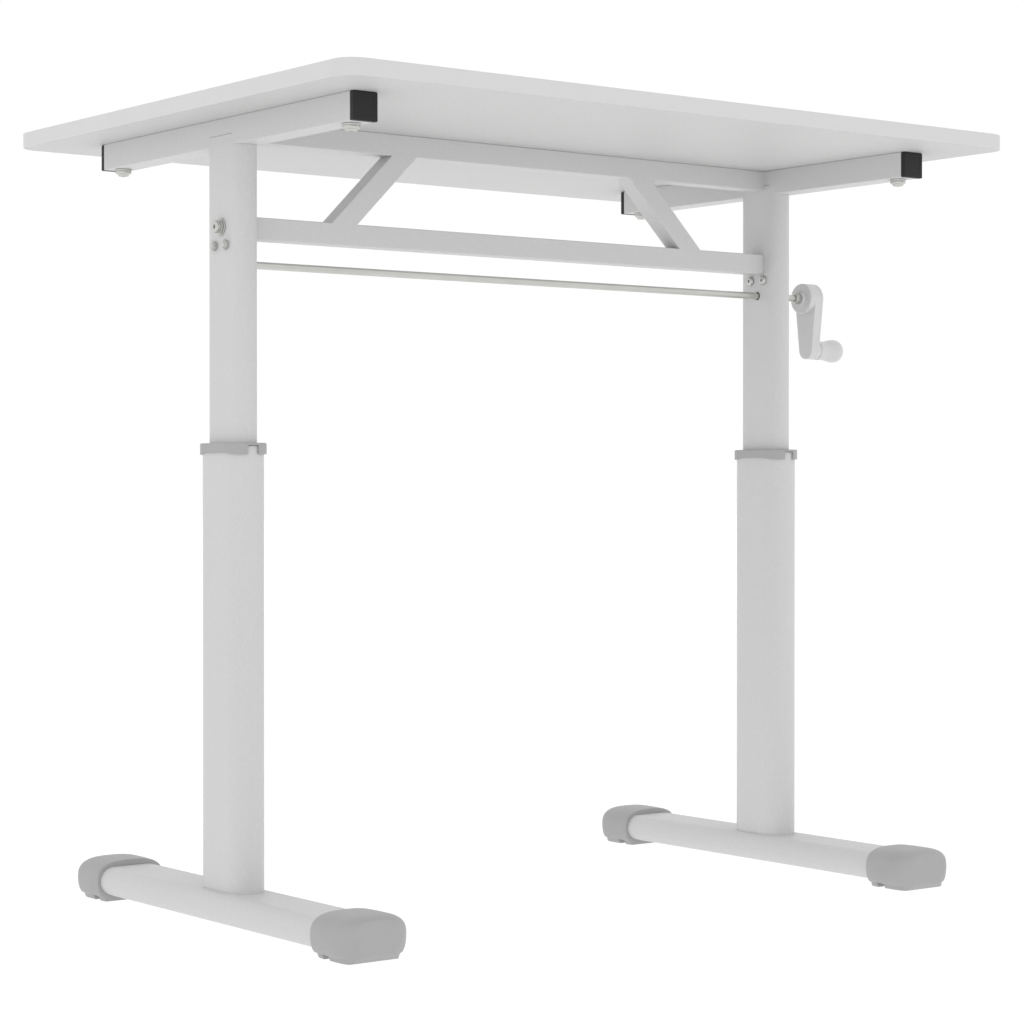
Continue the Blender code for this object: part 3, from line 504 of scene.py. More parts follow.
def make_side_rail(word):
    """The tube is notched at its sides for the column's two raised flats."""
    low, high, middle, size = box_of(f"side_rail_{word}")
    half = size.y / 2
    rail = raw_object(f"side_rail_{word}_tube",
                      square_tube(size.x, RAIL_WALL, RAIL_CORNER, -half, half),
                      along_y(middle + CLOSE * Z))
    notch_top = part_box(f"upper_column_{word}")[1].z + 0.0003
    tool_width, tool_start = 0.010, -0.002
    outline = rounded(tool_width, 2 * TONGUE_HALF + NOTCH_PLAY, 0.0002, 2)
    for way in (-1, 1):
        edge = middle.x + way * (size.x / 2 - NOTCH_DEPTH + tool_width / 2)
        notch = loft([at(outline, tool_start), at(outline, notch_top - low.z)])
        cut(rail, notch, upright((edge, COLUMN_Y, low.z)))
    for end in ("front", "rear"):
        bolt = box_of(f"tabletop_bolt_{end}_{word}").middle
        hole = turned([(RAIL_HOLE, low.z - 0.01), (RAIL_HOLE, high.z + 0.01)], 32)
        cut(rail, hole, upright((bolt.x, bolt.y, 0)))
    finish_piece(rail, LOOKS["paint"], "top_frame", [f"side_rail_{word}"])


PLUG_FLANGE, PLUG_EDGE = 0.00545, 0.0006
PLUG_DISH, PLUG_DISH_DEPTH = 0.72, 0.00025  # the dish's width is a share of the plug's
PLUG_STEM_PLAY = 0.0050
PLUG_RIBS = (  # share of the stem's width, height from the face
    (0.97, -0.0050), (0.97, -0.0070), (1, -0.0073), (1, -0.0084), (0.96, -0.0088),
    (0.96, -0.0108), (1, -0.0111), (1, -0.0122), (0.94, -0.0165),
)


def make_rail_plug(node, way):
    """A black plug: a flange with a shallow dish in its face, and a ribbed stem in the tube."""
    low, high, middle, size = box_of(node)
    place = along_y((middle.x, high.y if way > 0 else low.y, middle.z), way)
    wide = size.x

    def outline(inset):
        return rounded(wide - 2 * inset, wide - 2 * inset, 0.0012 - 0.4 * inset, 6)

    rings = soft_ends(outline, -PLUG_FLANGE, 0, PLUG_EDGE, 4)
    for share, height in ((PLUG_DISH, 0.0), (PLUG_DISH - 0.02, -PLUG_DISH_DEPTH)):
        rings.append(at(rounded(wide * share, wide * share, 0.0015, 6), height))
    plug = raw_object(f"{node}_cap", loft(rings), place)
    body = wide - PLUG_STEM_PLAY
    stem = loft([at(rounded(body * share, body * share, 0.001, 3), height)
                 for share, height in PLUG_RIBS])
    cut(plug, stem, place, "UNION")
    finish_piece(plug, LOOKS["black"], "top_frame", [node])


def make_beams():
    """The two cross beams, and the plates in the lower one's ends for the beam bolts."""
    upper = box_of("upper_beam")
    half = upper.size.x / 2 + 2 * CLOSE
    piece("upper_beam_tube", square_tube(upper.size.y, BEAM_WALL, BEAM_CORNER, -half, half),
          along_x(upper.middle + CLOSE * Z), LOOKS["paint"], "top_frame", ["upper_beam"])
    lower = box_of("lower_beam")
    half = lower.size.x / 2 + CLOSE
    piece("lower_beam_tube", square_tube(lower.size.y, BEAM_WALL, BEAM_CORNER, -half, half),
          along_x(lower.middle), LOOKS["paint"], "top_frame", ["lower_beam"])
    outline = rounded(PLATE_SIDE, PLATE_SIDE, 0.0006, 4)
    bore = circle(PLATE_BORE, len(outline), -math.pi / 4)
    for way, word in SIDES:
        end = lower.middle.x + way * (lower.size.x / 2 - PLATE_INSET)
        plate = loft([at(outline, -PLATE_THICKNESS), at(outline, 0.0), at(bore, 0.0),
                      at(bore, -PLATE_THICKNESS)], closed=True)
        piece(f"lower_beam_end_plate_{word}", plate,
              along_x((end, lower.middle.y, lower.middle.z), way), LOOKS["paint"], "top_frame")


def make_brace(way, word):
    """A square tube at 45 degrees, cut level where it is welded to the beams."""
    low, high, middle, size = box_of(f"brace_{word}")
    across = math.sqrt(2)
    outer = size.y + BRACE_PROUD
    bottom, top = low.z - BRACE_OVERLAP, high.z + BRACE_OVERLAP
    rings = []
    for side, corner, height in ((outer, BEAM_CORNER, bottom), (outer, BEAM_CORNER, top),
                                 (BRACE_INNER, BRACE_INNER_CORNER, top),
                                 (BRACE_INNER, BRACE_INNER_CORNER, bottom)):
        shift = -way * (height - middle.z)
        ring = rounded(side, side, corner, 5)
        rings.append([(middle.x + across * a + shift, middle.y + b, height) for a, b in ring])
    piece(f"brace_{word}_tube", loft(rings, closed=True), Matrix.Identity(4), LOOKS["paint"],
          "top_frame", [f"brace_{word}"])


# ---- columns ------------------------------------------------------------------------------
UPPER_STRAIGHT, UPPER_WALL = 0.0178, 0.0012  # half the length of the flats
LOWER_STRAIGHT, LOWER_WALL = 0.0183, 0.0015
TONGUE_HALF, TONGUE_ROOT = 0.0200, 0.003
BEAM_BOLT_HOLE, ROD_HOLE, GEARBOX_BOLT_HOLE = 0.0033, 0.0044, 0.0028
COLLAR_SKIRT, COLLAR_FLANGE, COLLAR_ROUNDING = 0.0105, 0.0026, 0.0012
COLLAR_PLAY, SKIRT_PLAY, SKIRT_EDGE = 0.0003, 0.0002, 0.0003
SLEEVE_CHAMFER = 0.0008
WAVE_FLAT, WAVE_END, WAVE_RISE = 0.015, 0.032, 0.0019
SLOT_WIDTH, SLOT_DEPTH = 0.0112, 0.0100
SLOT_OFFSET = -0.0018  # both collars are the same moulding, with its slot off the middle


def make_upper_column(way, word):
    """The round sides stop under the rail, and the flat ones rise beside it."""
    low, high, middle, size = box_of(f"upper_column_{word}")
    radius = size.x / 2
    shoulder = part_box(f"side_rail_{word}")[0].z + CLOSE - 0.00005
    outer = obround(UPPER_STRAIGHT, radius)
    inner = obround(UPPER_STRAIGHT, radius - UPPER_WALL)
    bm = loft([at(outer, low.z), at(outer, shoulder), at(inner, shoulder), at(inner, low.z)],
              closed=True)
    column = raw_object(f"upper_column_{word}_tube", bm, upright((middle.x, COLUMN_Y, 0)))
    for face in (-1, 1):
        outline = rounded(UPPER_WALL, 2 * TONGUE_HALF, 0.0001, 1)
        tongue = loft([at(outline, shoulder - TONGUE_ROOT), at(outline, high.z)])
        place = upright((middle.x + face * (radius - UPPER_WALL / 2), COLUMN_Y, 0))
        cut(column, tongue, place, "UNION")
    beam = box_of(f"beam_bolt_{word}").middle
    through = 0.03
    rod_reach = through if way > 0 else 0.0  # the rod ends inside the left column
    holes = [(beam.y, beam.z, BEAM_BOLT_HOLE, through), (COLUMN_Y, DRIVE_Z, ROD_HOLE, rod_reach)]
    for end in ("front", "rear"):
        bolt = box_of(f"gearbox_bolt_{end}_{word}").middle
        holes.append((bolt.y, bolt.z, GEARBOX_BOLT_HOLE, through))
    for y, z, hole_radius, reach in holes:
        tool = turned([(hole_radius, -through), (hole_radius, reach)], 32)
        cut(column, tool, along_x((middle.x, y, z), way))
    soften(column, 0.0002, 2)
    finish_piece(column, LOOKS["paint"], "top_frame", [f"upper_column_{word}"])


def make_lower_column(word):
    """The outer tube, from the foot up to the collar's flange."""
    column = box_of(f"lower_column_{word}")
    radius = column.size.x / 2
    outer = obround(LOWER_STRAIGHT, radius)
    inner = obround(LOWER_STRAIGHT, radius - LOWER_WALL)
    bottom = column.low.z - CLOSE
    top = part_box(f"column_collar_{word}")[1].z - COLLAR_FLANGE - CLOSE
    bm = loft([at(outer, bottom), at(outer, top), at(inner, top), at(inner, bottom)],
              closed=True)
    piece(f"lower_column_{word}_tube", bm, upright((column.middle.x, COLUMN_Y, 0)),
          LOOKS["paint"], "base", [f"lower_column_{word}"])


def make_collar(word):
    """The grey collar: a waved skirt with a slot at the front, a rim, and the guide sleeve."""
    low, high, middle, size = box_of(f"column_collar_{word}")
    skirt_out = size.x / 2
    lower_radius = box_of(f"lower_column_{word}").size.x / 2
    upper_radius = box_of(f"upper_column_{word}").size.x / 2
    skirt_in = lower_radius + SKIRT_PLAY
    sleeve_out = lower_radius - LOWER_WALL - COLLAR_PLAY
    sleeve_in = upper_radius + COLLAR_PLAY
    top = high.z
    skirt_bottom = top - COLLAR_SKIRT
    flange_under = top - COLLAR_FLANGE

    def ring(straight, radius, height, waved=False):
        points = []
        for a, b in obround(straight, radius, TUBE_ARC, flat_steps=12):
            reach = min(max(abs(b) - WAVE_FLAT, 0) / (WAVE_END - WAVE_FLAT), 1)
            lift = WAVE_RISE * math.cos(reach * math.pi / 2) ** 2 if waved else 0
            points.append((a, b, height + lift))
        return points

    rings = [ring(LOWER_STRAIGHT, skirt_out - SKIRT_EDGE, skirt_bottom, True)]
    rings.append(ring(LOWER_STRAIGHT, skirt_out, skirt_bottom + SKIRT_EDGE, True))
    for i in range(6):
        angle = math.pi / 2 * i / 5
        inset = COLLAR_ROUNDING * (1 - math.cos(angle))
        drop = COLLAR_ROUNDING * (1 - math.sin(angle))
        rings.append(ring(LOWER_STRAIGHT, skirt_out - inset, top - drop))
    rings.append(ring(UPPER_STRAIGHT, sleeve_in + SLEEVE_CHAMFER, top))
    rings.append(ring(UPPER_STRAIGHT, sleeve_in, top - SLEEVE_CHAMFER))
    rings.append(ring(UPPER_STRAIGHT, sleeve_in, low.z))
    rings.append(ring(UPPER_STRAIGHT, sleeve_out, low.z))
    rings.append(ring(UPPER_STRAIGHT, sleeve_out, flange_under))
    rings.append(ring(LOWER_STRAIGHT, skirt_in, flange_under))
    rings.append(ring(LOWER_STRAIGHT, skirt_in, skirt_bottom, True))
    collar = raw_object(f"column_collar_{word}_moulding", loft(rings, closed=True),
                        upright((middle.x, COLUMN_Y, 0)))
    slot_outline = rounded(SLOT_WIDTH, SLOT_DEPTH, 0.0004, 2)
    slot = loft([at(slot_outline, skirt_bottom - 0.002), at(slot_outline, flange_under + 0.0003)])
    cut(collar, slot, upright((middle.x + SLOT_OFFSET, low.y - 0.0010, 0)))
    finish_piece(collar, LOOKS["grey"], "base", [f"column_collar_{word}"], 35)


# ---- feet ---------------------------------------------------------------------------------
FOOT_WALL = 0.0018
CAP_BASE = 0.028  # half the width of the flat base
CAP_LENGTH, CAP_BASE_LENGTH = 0.052, 0.046
CAP_BASE_RISE, CAP_BASE_EDGE = 0.004, 0.0005
CAP_NOSE_LIFT = 1.1  # how steeply the floor of the nose climbs past the flat base
CAP_ARCH_KEPT = 0.35  # the share of its height that the arch keeps as the cap narrows
CAP_ROUNDNESS = 0.7
CAP_MOUTH_WIDTH, CAP_MOUTH_FLARE = 0.97, 0.3
NOSE_START, NOSE_TAPER, NOSE_POWER = 0.45, 0.37, 4.6
CAP_POCKET, CAP_PLAY = 0.038, 0.0002
CAP_MOUTH_INSET = 0.012
GROOVE_PLACE, GROOVE_WIDTH, GROOVE_TOP = 0.0145, 0.010, 0.0053


def make_foot_tube(word):
    """A flat oval tube, front to back."""
    tube = box_of(f"foot_tube_{word}")
    radius = tube.size.z / 2
    straight = tube.size.x / 2 - radius
    outer = obround(straight, radius)
    inner = obround(straight, radius - FOOT_WALL)
    half = tube.size.y / 2
    bm = loft([at(outer, -half), at(outer, half), at(inner, half), at(inner, -half)], closed=True)
    piece(f"foot_tube_{word}_tube", bm, along_y(tube.middle), LOOKS["paint"], "base",
          [f"foot_tube_{word}"])


def cap_section(half_width, width_scale, floor, tall):
    """One upright section of a foot cap: a flat base, sides that swell, and an arched top."""
    points = []
    middle = tall / 2
    top_height = middle * (CAP_ARCH_KEPT + (1 - CAP_ARCH_KEPT) * width_scale)
    arch_steps, side_steps = 48, 10
    for i in range(arch_steps + 1):
        angle = math.pi * i / arch_steps
        a = math.copysign(abs(math.cos(angle)) ** CAP_ROUNDNESS, math.cos(angle))
        b = middle + top_height * abs(math.sin(angle)) ** CAP_ROUNDNESS
        points.append((half_width * width_scale * a, b))
    base = CAP_BASE + (half_width - CAP_BASE) * 0.2
    for way in (-1, 1):
        side = []
        for i in range(1, side_steps):
            part = i / side_steps
            a = base + (half_width - base) * math.sqrt(1 - part**2)
            side.append((way * width_scale * a, middle - (middle - floor - CAP_BASE_RISE) * part))
        side.append((way * width_scale * base, floor + CAP_BASE_RISE))
        side.append((way * width_scale * (CAP_BASE + CAP_BASE_EDGE), floor + CAP_BASE_EDGE))
        side.append((way * width_scale * CAP_BASE, floor))
        points += side if way < 0 else side[::-1]
    return points


def make_foot_cap(end, end_word, word):
    """A grey cap that slips over the foot tube's end; its heights run from mouth to nose."""
    node = f"foot_cap_{end_word}_{word}"
    low, high, middle, size = box_of(node)
    mouth = low.y if end > 0 else high.y
    sections, last_section = 30, 0.98
    rings = []
    for i in range(sections + 1):
        share = last_section * (1 - (1 - i / sections) ** 1.5)
        flare = min(1, share / CAP_MOUTH_FLARE)
        nose = max(0.0, (share - NOSE_START) / (1 - NOSE_START))
        width = CAP_MOUTH_WIDTH + (1 - CAP_MOUTH_WIDTH) * flare
        width *= 1 - NOSE_TAPER * nose**NOSE_POWER
        if i == 0:
            width -= CAP_MOUTH_INSET
        floor = CAP_NOSE_LIFT * max(0.0, share * CAP_LENGTH - CAP_BASE_LENGTH)
        rings.append([(a, b, share * CAP_LENGTH)
                      for a, b in cap_section(size.x / 2, width, floor, size.z)])
    last = rings[-1]
    for part in (0.3, 0.6, 0.85, 1.0):
        rise = math.sqrt(1 - (1 - part) ** 2)
        rings.append([((1 - 0.2 * part) * a, b + 0.45 * part * (size.z / 2 - b),
                       CAP_LENGTH * (last_section + (1 - last_section) * rise))
                      for a, b, _ in last])
    place = frame_at((middle.x, mouth, 0), -end * X, Z)
    cap = raw_object(f"{node}_moulding", loft(rings), place)
    tube = box_of(f"foot_tube_{word}")
    radius = tube.size.z / 2
    pocket_outline = obround(tube.size.x / 2 - radius, radius + CAP_PLAY)
    pocket = loft([at(pocket_outline, -0.005), at(pocket_outline, CAP_POCKET)])
    cut(cap, pocket, along_y((middle.x, mouth, tube.middle.z), end))
    groove_outline = rounded(0.080, GROOVE_WIDTH, 0.0008, 3)
    groove = loft([at(groove_outline, -0.005), at(groove_outline, GROOVE_TOP)])
    cut(cap, groove, upright((middle.x, mouth + end * GROOVE_PLACE, 0)))
    finish_piece(cap, LOOKS["grey"], "base", [node], 32)


# ---- fasteners ----------------------------------------------------------------------------
M6_RADIUS, M5_RADIUS, M4_RADIUS = 0.0030, 0.0025, 0.0020
THREAD_PITCH, LONGEST_THREAD = 0.0010, 0.014
TOP_BOLT_LENGTH, BEAM_BOLT_LENGTH, CRANK_SCREW_LENGTH = 0.034, 0.043, 0.0040
BUTTON_RADIUS, BUTTON_SOCKET = 0.0050, 0.003
WASHER_BORE = 0.0032
FLAT_WASHER_RADIUS, FLAT_WASHER_TOP = 0.0082, 0.0016
SPRING_WASHER_RADIUS, SPRING_WASHER_LOW, SPRING_WASHER_TOP = 0.0068, 0.00165, 0.0032
SPRING_SPLIT, SPRING_SPLIT_TURN = 0.0009, 0.6
NUT_FLATS = 0.0080


def socket_rings(crown, socket, depth, steps=ROUND):
    """The top of a bolt head: its crown, the hexagonal socket and its conical floor."""
    return [
        at(hexagon(socket + 0.0005, steps), crown),
        at(hexagon(socket, steps), crown - 0.00025),
        at(hexagon(socket, steps), crown - depth),
        at(circle(socket * 0.1, steps), crown - depth - 0.0004),
    ]


def button_head(radius, start, height, socket, depth):
    """Rings of a domed socket head that rises from start."""
    rings = [at(circle(radius - 0.0003), start), at(circle(radius), start + 0.0002)]
    for i in range(8):
        angle = math.pi / 2 * i / 8
        spread = radius * (0.55 + 0.45 * math.cos(angle))
        rings.append(at(circle(spread), start + height * (0.25 + 0.75 * math.sin(angle))))
    return rings + socket_rings(start + height, socket, depth)


def washer(radius, bore, low, high, edge=0.0003):
    """The profile of a flat ring with eased outer edges."""
    return [
        (bore, low), (radius - edge, low), (radius, low + edge), (radius, high - edge),
        (radius - edge, high), (bore, high),
    ]


def shank_rings(radius, length):
    """A threaded shank below the head, its thread drawn as rings."""
    rings = [at(circle(radius * 0.6), -length), at(circle(radius * 0.9), -length + 0.0006)]
    turns = int(min(length, LONGEST_THREAD) / THREAD_PITCH)
    for i in range(turns):
        height = -length + 0.0008 + i * THREAD_PITCH
        rings.append(at(circle(radius), height))
        rings.append(at(circle(radius * 0.86), height + THREAD_PITCH / 2))
    rings.append(at(circle(radius * 0.97), -length + 0.0012 + turns * THREAD_PITCH))
    rings.append(at(circle(radius * 0.97), 0.0))
    return rings


def make_tabletop_bolt(end_word, word):
    """A bolt up through the rail into the board; its wide head has a low dome below."""
    node = f"tabletop_bolt_{end_word}_{word}"
    bolt = box_of(node)
    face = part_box(f"side_rail_{word}")[0].z + CLOSE - SEAT
    place = frame_at((bolt.middle.x, bolt.middle.y, face), X, -Y)
    tall = face - bolt.low.z
    rings = shank_rings(M6_RADIUS, TOP_BOLT_LENGTH)
    head = [  # radius, and height from the rail's underside
        (0.0078, 0.0), (0.0082, 0.0003), (0.0082, 0.0012), (0.0080, 0.0015), (0.0076, 0.00155),
        (0.0076, 0.0018), (0.0078, 0.0021), (0.0078, 0.0036), (0.0076, 0.0042), (0.0070, 0.0047),
        (0.0060, 0.0050), (0.0056, 0.0052), (0.0052, tall - 0.0006), (0.0046, tall - 0.0001),
        (0.0040, tall),
    ]
    rings += [at(circle(radius), height) for radius, height in head]
    rings += socket_rings(tall, 0.004, 0.0022)
    piece(f"{node}_screw", loft(rings), place, LOOKS["zinc"], "top_frame", [node])


def make_beam_bolt(way, word):
    """A socket-head bolt on a spring washer and a flat washer."""
    node = f"beam_bolt_{word}"
    bolt = box_of(node)
    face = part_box(f"upper_column_{word}")[1].x if way > 0 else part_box(f"upper_column_{word}")[0].x
    face += way * SEAT
    reach = (bolt.high.x - face) if way > 0 else (face - bolt.low.x)
    place = along_x((face, bolt.middle.y, bolt.middle.z), way)
    flat = turned(washer(FLAT_WASHER_RADIUS, WASHER_BORE, 0.0, FLAT_WASHER_TOP), closed=True)
    piece(f"{node}_flat_washer", flat, place, LOOKS["zinc"], "top_frame")
    profile = washer(SPRING_WASHER_RADIUS, WASHER_BORE, SPRING_WASHER_LOW, SPRING_WASHER_TOP)
    spring = raw_object(f"{node}_spring_washer", turned(profile, closed=True), place)
    outline = rounded(SPRING_SPLIT, 0.010, 0.0002, 2)
    turn = Matrix.Rotation(SPRING_SPLIT_TURN, 4, "Z") @ Matrix.Translation((0, 0.006, 0))
    cut(spring, loft([at(outline, -0.001), at(outline, 0.005)]), place @ turn)
    finish_piece(spring, LOOKS["zinc"], "top_frame")
    rings = shank_rings(M6_RADIUS, BEAM_BOLT_LENGTH)
    head = [(0.0056, 0.00325), (0.0058, 0.0034), (0.0058, reach - 0.0010),
            (0.0055, reach - 0.0003), (0.0050, reach)]
    rings += [at(circle(radius), height) for radius, height in head]
    rings += socket_rings(reach, 0.0036, 0.0018)
    piece(f"{node}_screw", loft(rings), place, LOOKS["zinc"], "top_frame", [node])


def make_gearbox_fasteners(way, word):
    """Long bolts with domed heads on the inner face and hexagonal nuts on the outer face."""
    column_low, column_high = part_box(f"upper_column_{word}")
    inner = column_low.x if way > 0 else column_high.x
    outer = column_high.x if way > 0 else column_low.x
    for end in ("front", "rear"):
        node = f"gearbox_bolt_{end}_{word}"
        bolt = box_of(node)
        place = along_x((inner - way * SEAT, bolt.middle.y, bolt.middle.z), -way)
        tip = (bolt.high.x - inner) if way > 0 else (inner - bolt.low.x)
        head = (inner - bolt.low.x) if way > 0 else (bolt.high.x - inner)
        rings = shank_rings(M5_RADIUS, tip - SEAT)
        rings += button_head(BUTTON_RADIUS, 0.0, head - SEAT, BUTTON_SOCKET, 0.0020)
        piece(f"{node}_screw", loft(rings), place, LOOKS["zinc"], "top_frame", [node])
        make_gearbox_nut(f"gearbox_nut_{end}_{word}", outer + way * SEAT, way)


def make_gearbox_nut(node, face, way):
    """A hexagonal nut that stands on face; its corners are cut back at both ends."""
    nut = box_of(node)
    height = nut.size.x
    rings = [
        at(circle(0.0036), 0.0),
        at(hexagon(NUT_FLATS, corner_cut=0.10), 0.0),
        at(hexagon(NUT_FLATS), 0.0005),
        at(hexagon(NUT_FLATS), height - 0.0006),
        at(hexagon(NUT_FLATS, corner_cut=0.12), height),
        at(circle(0.0031), height),
        at(circle(0.0026), height - 0.0004),
        at(circle(0.0026), 0.0004),
    ]
    piece(f"{node}_hex", loft(rings, closed=True),
          along_x((face, nut.middle.y, nut.middle.z), way), LOOKS["zinc"], "top_frame", [node],
          28)


# ---- drive rod and crank ------------------------------------------------------------------
ROD_CORNER_CUT, ROD_EDGE = 0.03, 0.0006
HUB_RADIUS, ARM_END_RADIUS = 0.0165, 0.0100
ARM_INNER, ARM_OUTER = 0.0162, 0.0039  # the arm's two faces, in from the hub's outermost point
ARM_EDGE, ARM_EDGE_STEPS = 0.0012, 5
SEAM_PLACE = 0.72  # the mould's parting line, as a share of the arm's thickness
RECESS_DEPTH = 0.0008
HUB_SOCKET, HUB_SCREW_HOLE, PIN_BORE = 0.0069, 0.0023, 0.0043
CRANK_SCREW_SINK = 0.0006
CRANK_NUT_FLATS, CRANK_NUT_BORE = 0.0108, 0.0067
PIN_RADIUS, PIN_CHAMFER = 0.0040, 0.0006
GRIP_BORE_DEPTH = 0.0255


def make_drive_rod():
    """A hexagonal bar with slightly broken corners."""
    rod = box_of("drive_rod")
    half = rod.size.x / 2

    def outline(inset):
        return hexagon(rod.size.y - 2 * inset, corner_cut=ROD_CORNER_CUT)

    piece("drive_rod_bar", loft(soft_ends(outline, -half, half, ROD_EDGE, 2)),
          along_x(rod.middle), LOOKS["rod"], "drive_shaft", ["drive_rod"], 25)


def arm_outline(length, big, small, steps=24):
    """Two circles joined by their tangents; the small one is length towards +a."""
    lean = math.acos((big - small) / length)
    points = []
    for i in range(steps + 1):
        angle = lean + (2 * math.pi - 2 * lean) * i / steps
        points.append((big * math.cos(angle), big * math.sin(angle)))
    for i in range(steps + 1):
        angle = -lean + 2 * lean * i / steps
        points.append((length + small * math.cos(angle), small * math.sin(angle)))
    return points


def arm_faces():
    """Where the arm's inner and outer faces lie on X."""
    outermost = box_of("crank_arm").high.x
    return outermost - ARM_INNER, outermost - ARM_OUTER


def make_crank_arm():
    """The arm with its hub, its boss round the pin, and the line where its mould parts."""
    inner_face, outer_face = arm_faces()
    thick = outer_face - inner_face
    length = DRIVE_Z - GRIP_Z
    place = along_x((inner_face, COLUMN_Y, DRIVE_Z))
    end_place = along_x((inner_face, COLUMN_Y, DRIVE_Z - length))

    def outline(inset):
        return arm_outline(length, HUB_RADIUS - inset, ARM_END_RADIUS - inset)

    rings = soft_ends(outline, 0.0, thick, ARM_EDGE, ARM_EDGE_STEPS)
    seam = SEAM_PLACE * thick
    seam_rings = [at(outline(inset), seam + shift) for inset, shift in
                  ((0, -0.00035), (0.00022, -0.0001), (0.00022, 0.0001), (0, 0.00035))]
    half_way = len(rings) // 2
    arm = raw_object("crank_arm_moulding",
                     loft(rings[:half_way] + seam_rings + rings[half_way:]), place)
    hub = [
        (0.0001, -0.0102), (0.0070, -0.0102), (0.0076, -0.0097), (0.0080, -0.0074),
        (0.0084, -0.0068), (0.0092, -0.0067), (0.0150, -0.0067), (0.0155, -0.0066),
        (0.0162, -0.0060), (0.0165, -0.0052), (0.0165, 0.004), (0.0001, 0.004),
    ]
    cut(arm, turned(hub, 64), place, "UNION")
    boss = [(0.0001, thick - 0.004), (0.0098, thick - 0.004), (0.0098, thick + 0.0037),
            (0.0096, thick + 0.0039), (0.0001, thick + 0.0039)]
    cut(arm, turned(boss, 64), end_place, "UNION")
    recess = [(0.0001, thick - RECESS_DEPTH), (0.0062, thick - RECESS_DEPTH),
              (0.0066, thick + 0.001), (0.0001, thick + 0.001)]
    cut(arm, turned(recess), place)
    cut(arm, loft([at(hexagon(HUB_SOCKET), -0.02), at(hexagon(HUB_SOCKET), thick - 0.005)]), place)
    cut(arm, turned([(HUB_SCREW_HOLE, thick - 0.006), (HUB_SCREW_HOLE, thick + 0.01)], 32), place)
    cut(arm, turned([(PIN_BORE, 0.003), (PIN_BORE, thick + 0.01)], 32), end_place)
    finish_piece(arm, LOOKS["white"], "drive_shaft", ["crank_arm"], 30)


def make_crank_nut():
    """The nut on the rod behind the hub."""
    nut = box_of("crank_nut")
    half = nut.size.x / 2
    rings = [
        at(circle(CRANK_NUT_FLATS / 2 * 0.93), -half),
        at(hexagon(CRANK_NUT_FLATS, corner_cut=0.12), -half + 0.0003),
        at(hexagon(CRANK_NUT_FLATS), -half + 0.0010),
        at(hexagon(CRANK_NUT_FLATS), half - 0.0010),
        at(hexagon(CRANK_NUT_FLATS, corner_cut=0.12), half - 0.0003),
        at(circle(CRANK_NUT_FLATS / 2 * 0.93), half),
        at(hexagon(CRANK_NUT_BORE), half),
        at(hexagon(CRANK_NUT_BORE), -half),
    ]
    piece("crank_nut_hex", loft(rings, closed=True), along_x(nut.middle), LOOKS["zinc"],
          "drive_shaft", ["crank_nut"], 28)


def make_crank_screw():
    """The screw that holds the hub on the rod."""
    face = arm_faces()[1] - CRANK_SCREW_SINK
    rings = shank_rings(M4_RADIUS, CRANK_SCREW_LENGTH)
    rings += button_head(BUTTON_RADIUS, 0.0, box_of("crank_screw").high.x - face, BUTTON_SOCKET,
                         0.0018)
    piece("crank_screw_head", loft(rings), along_x((face, COLUMN_Y, DRIVE_Z)), LOOKS["zinc"],
          "drive_shaft", ["crank_screw"])


def make_grip_pin():
    """The steel pin that the grip turns on."""
    pin = box_of("grip_pin")
    half = pin.size.x / 2
    profile = [(PIN_RADIUS - PIN_CHAMFER, -half), (PIN_RADIUS, -half + PIN_CHAMFER),
               (PIN_RADIUS, half - PIN_CHAMFER), (PIN_RADIUS - PIN_CHAMFER, half)]
    piece("grip_pin_bar", turned(profile), along_x(pin.middle), LOOKS["zinc"], "drive_shaft",
          ["grip_pin"])


def make_crank_grip():
    """The loose grip: a narrow neck that swells to a rounded end."""
    grip = box_of("crank_grip")
    start, long = -CLOSE / 2, grip.size.x
    control = [
        (0.0100, start), (0.0102, start + 0.0003), (0.0102, 0.0055), (0.0102, 0.0090),
        (0.0107, 0.0130), (0.0118, 0.0180), (0.0125, 0.0230), (0.0122, long - 0.0070),
        (0.0104, long - 0.0033), (0.0070, long - 0.0011), (0.0030, long - 0.0002),
        (0.0002, long - 0.00005),
    ]
    profile = [(PIN_BORE, GRIP_BORE_DEPTH), (PIN_BORE, start)] + smooth_profile(control, 5)
    place = along_x((grip.low.x, grip.middle.y, grip.middle.z))
    piece("crank_grip_knob", turned(profile, 64), place, LOOKS["white"], "crank_grip",
          ["crank_grip"], 50)


def smooth_profile(control, steps):
    """Catmull-Rom points through a profile, so that a turned shape has no facets."""
    padded = [control[0]] + control + [control[-1]]
    points = []
    for p0, p1, p2, p3 in zip(padded, padded[1:], padded[2:], padded[3:]):
        for i in range(steps):
            t = i / steps
            points.append(tuple(
                0.5 * (2 * b + (c - a) * t + (2 * a - 5 * b + 4 * c - d) * t * t
                       + (3 * b - a - 3 * c + d) * t**3)
                for a, b, c, d in zip(p0, p1, p2, p3)))
    return points + [control[-1]]


# ---- the nodes that keep their CAD shape ---------------------------------------------------
def dress_cad_nodes():
    """Inner pieces keep their CAD shape and take a finished material."""
    kinds = {
        "guide_bush": "nylon", "gearbox_housing": "nylon", "thrust_bearing": "zinc",
        "rod_gear": "zinc", "screw_gear": "zinc", "lead_screw": "zinc", "lead_nut": "brass",
        "nut_post": "zinc",
    }
    for name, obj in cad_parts.items():
        look = next((value for key, value in kinds.items() if name.startswith(key)), "zinc")
        obj.data.materials.clear()
        obj.data.materials.append(LOOKS[look])


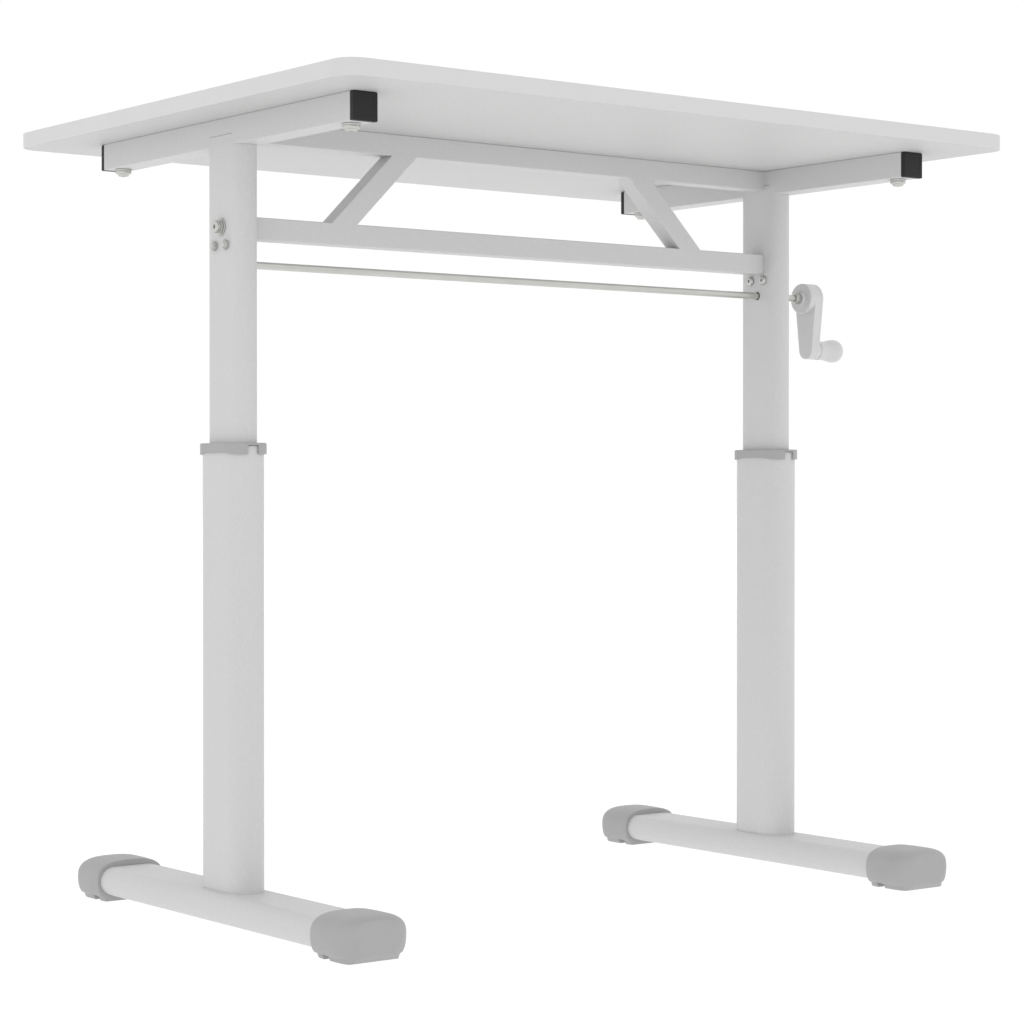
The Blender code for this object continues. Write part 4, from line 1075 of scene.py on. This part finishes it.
# ---- stage --------------------------------------------------------------------------------
FLOOR_REACH, FLOOR_DROP = 30.0, 0.0002
FLOOR_LEVEL, FLOOR_GLOW, STUDIO_LIGHT = 0.12, 0.96, 1.01
CAMERA_LENS, CAMERA_SENSOR, CAMERA_REACH = 91.18, 36.0, 100.0
CAMERA_LEFT, CAMERA_FRONT, CAMERA_HEIGHT = 1.5847, 2.0830, 0.4044
CAMERA_DIP, CAMERA_TURN = 0.4918, 37.2425  # degrees below level, and to the right of straight on


def make_stage():
    """A white floor that glows a little, an even white studio, and a camera low at the left."""
    bm = bmesh.new()
    corners = [(-FLOOR_REACH, -FLOOR_REACH, 0), (FLOOR_REACH, -FLOOR_REACH, 0),
               (FLOOR_REACH, FLOOR_REACH, 0), (-FLOOR_REACH, FLOOR_REACH, 0)]
    bm.faces.new([bm.verts.new(corner) for corner in corners])
    floor = raw_object("floor", bm, Matrix.Translation((0, 0, cad_bounds[0].z - FLOOR_DROP)))
    material = bpy.data.materials.new("floor_white")
    material.use_nodes = True
    shader = material.node_tree.nodes["Principled BSDF"]
    shader.inputs["Base Color"].default_value = (*grey(FLOOR_LEVEL), 1)
    shader.inputs["Roughness"].default_value = 1.0
    shader.inputs["Specular IOR Level"].default_value = 0.0
    shader.inputs["Emission Color"].default_value = (1, 1, 1, 1)
    shader.inputs["Emission Strength"].default_value = FLOOR_GLOW
    floor.data.materials.append(material)

    world = bpy.data.worlds.new("studio")
    world.use_nodes = True
    background = world.node_tree.nodes["Background"]
    background.inputs["Color"].default_value = (1, 1, 1, 1)
    background.inputs["Strength"].default_value = STUDIO_LIGHT
    bpy.context.scene.world = world
    bpy.context.scene.view_settings.view_transform = "Standard"

    camera_data = bpy.data.cameras.new("camera")
    camera_data.sensor_width = CAMERA_SENSOR
    camera_data.lens = CAMERA_LENS
    camera_data.clip_end = CAMERA_REACH
    camera = bpy.data.objects.new("camera", camera_data)
    bpy.context.scene.collection.objects.link(camera)
    camera.location = (TOP.middle.x - CAMERA_LEFT, TOP.middle.y - CAMERA_FRONT, CAMERA_HEIGHT)
    camera.rotation_euler = (math.radians(90 - CAMERA_DIP), 0, math.radians(-CAMERA_TURN))
    bpy.context.scene.camera = camera


def main():
    dress_cad_nodes()
    make_tabletop()
    make_beams()
    for way, word in SIDES:
        make_side_rail(word)
        make_rail_plug(f"rail_plug_front_{word}", -1)
        make_rail_plug(f"rail_plug_rear_{word}", 1)
        for end_word in ("front", "rear"):
            make_tabletop_bolt(end_word, word)
        make_brace(way, word)
        make_upper_column(way, word)
        make_lower_column(word)
        make_collar(word)
        make_foot_tube(word)
        make_foot_cap(-1, "front", word)
        make_foot_cap(1, "rear", word)
        make_beam_bolt(way, word)
        make_gearbox_fasteners(way, word)
    make_drive_rod()
    make_crank_arm()
    make_crank_nut()
    make_crank_screw()
    make_grip_pin()
    make_crank_grip()
    make_stage()


main()
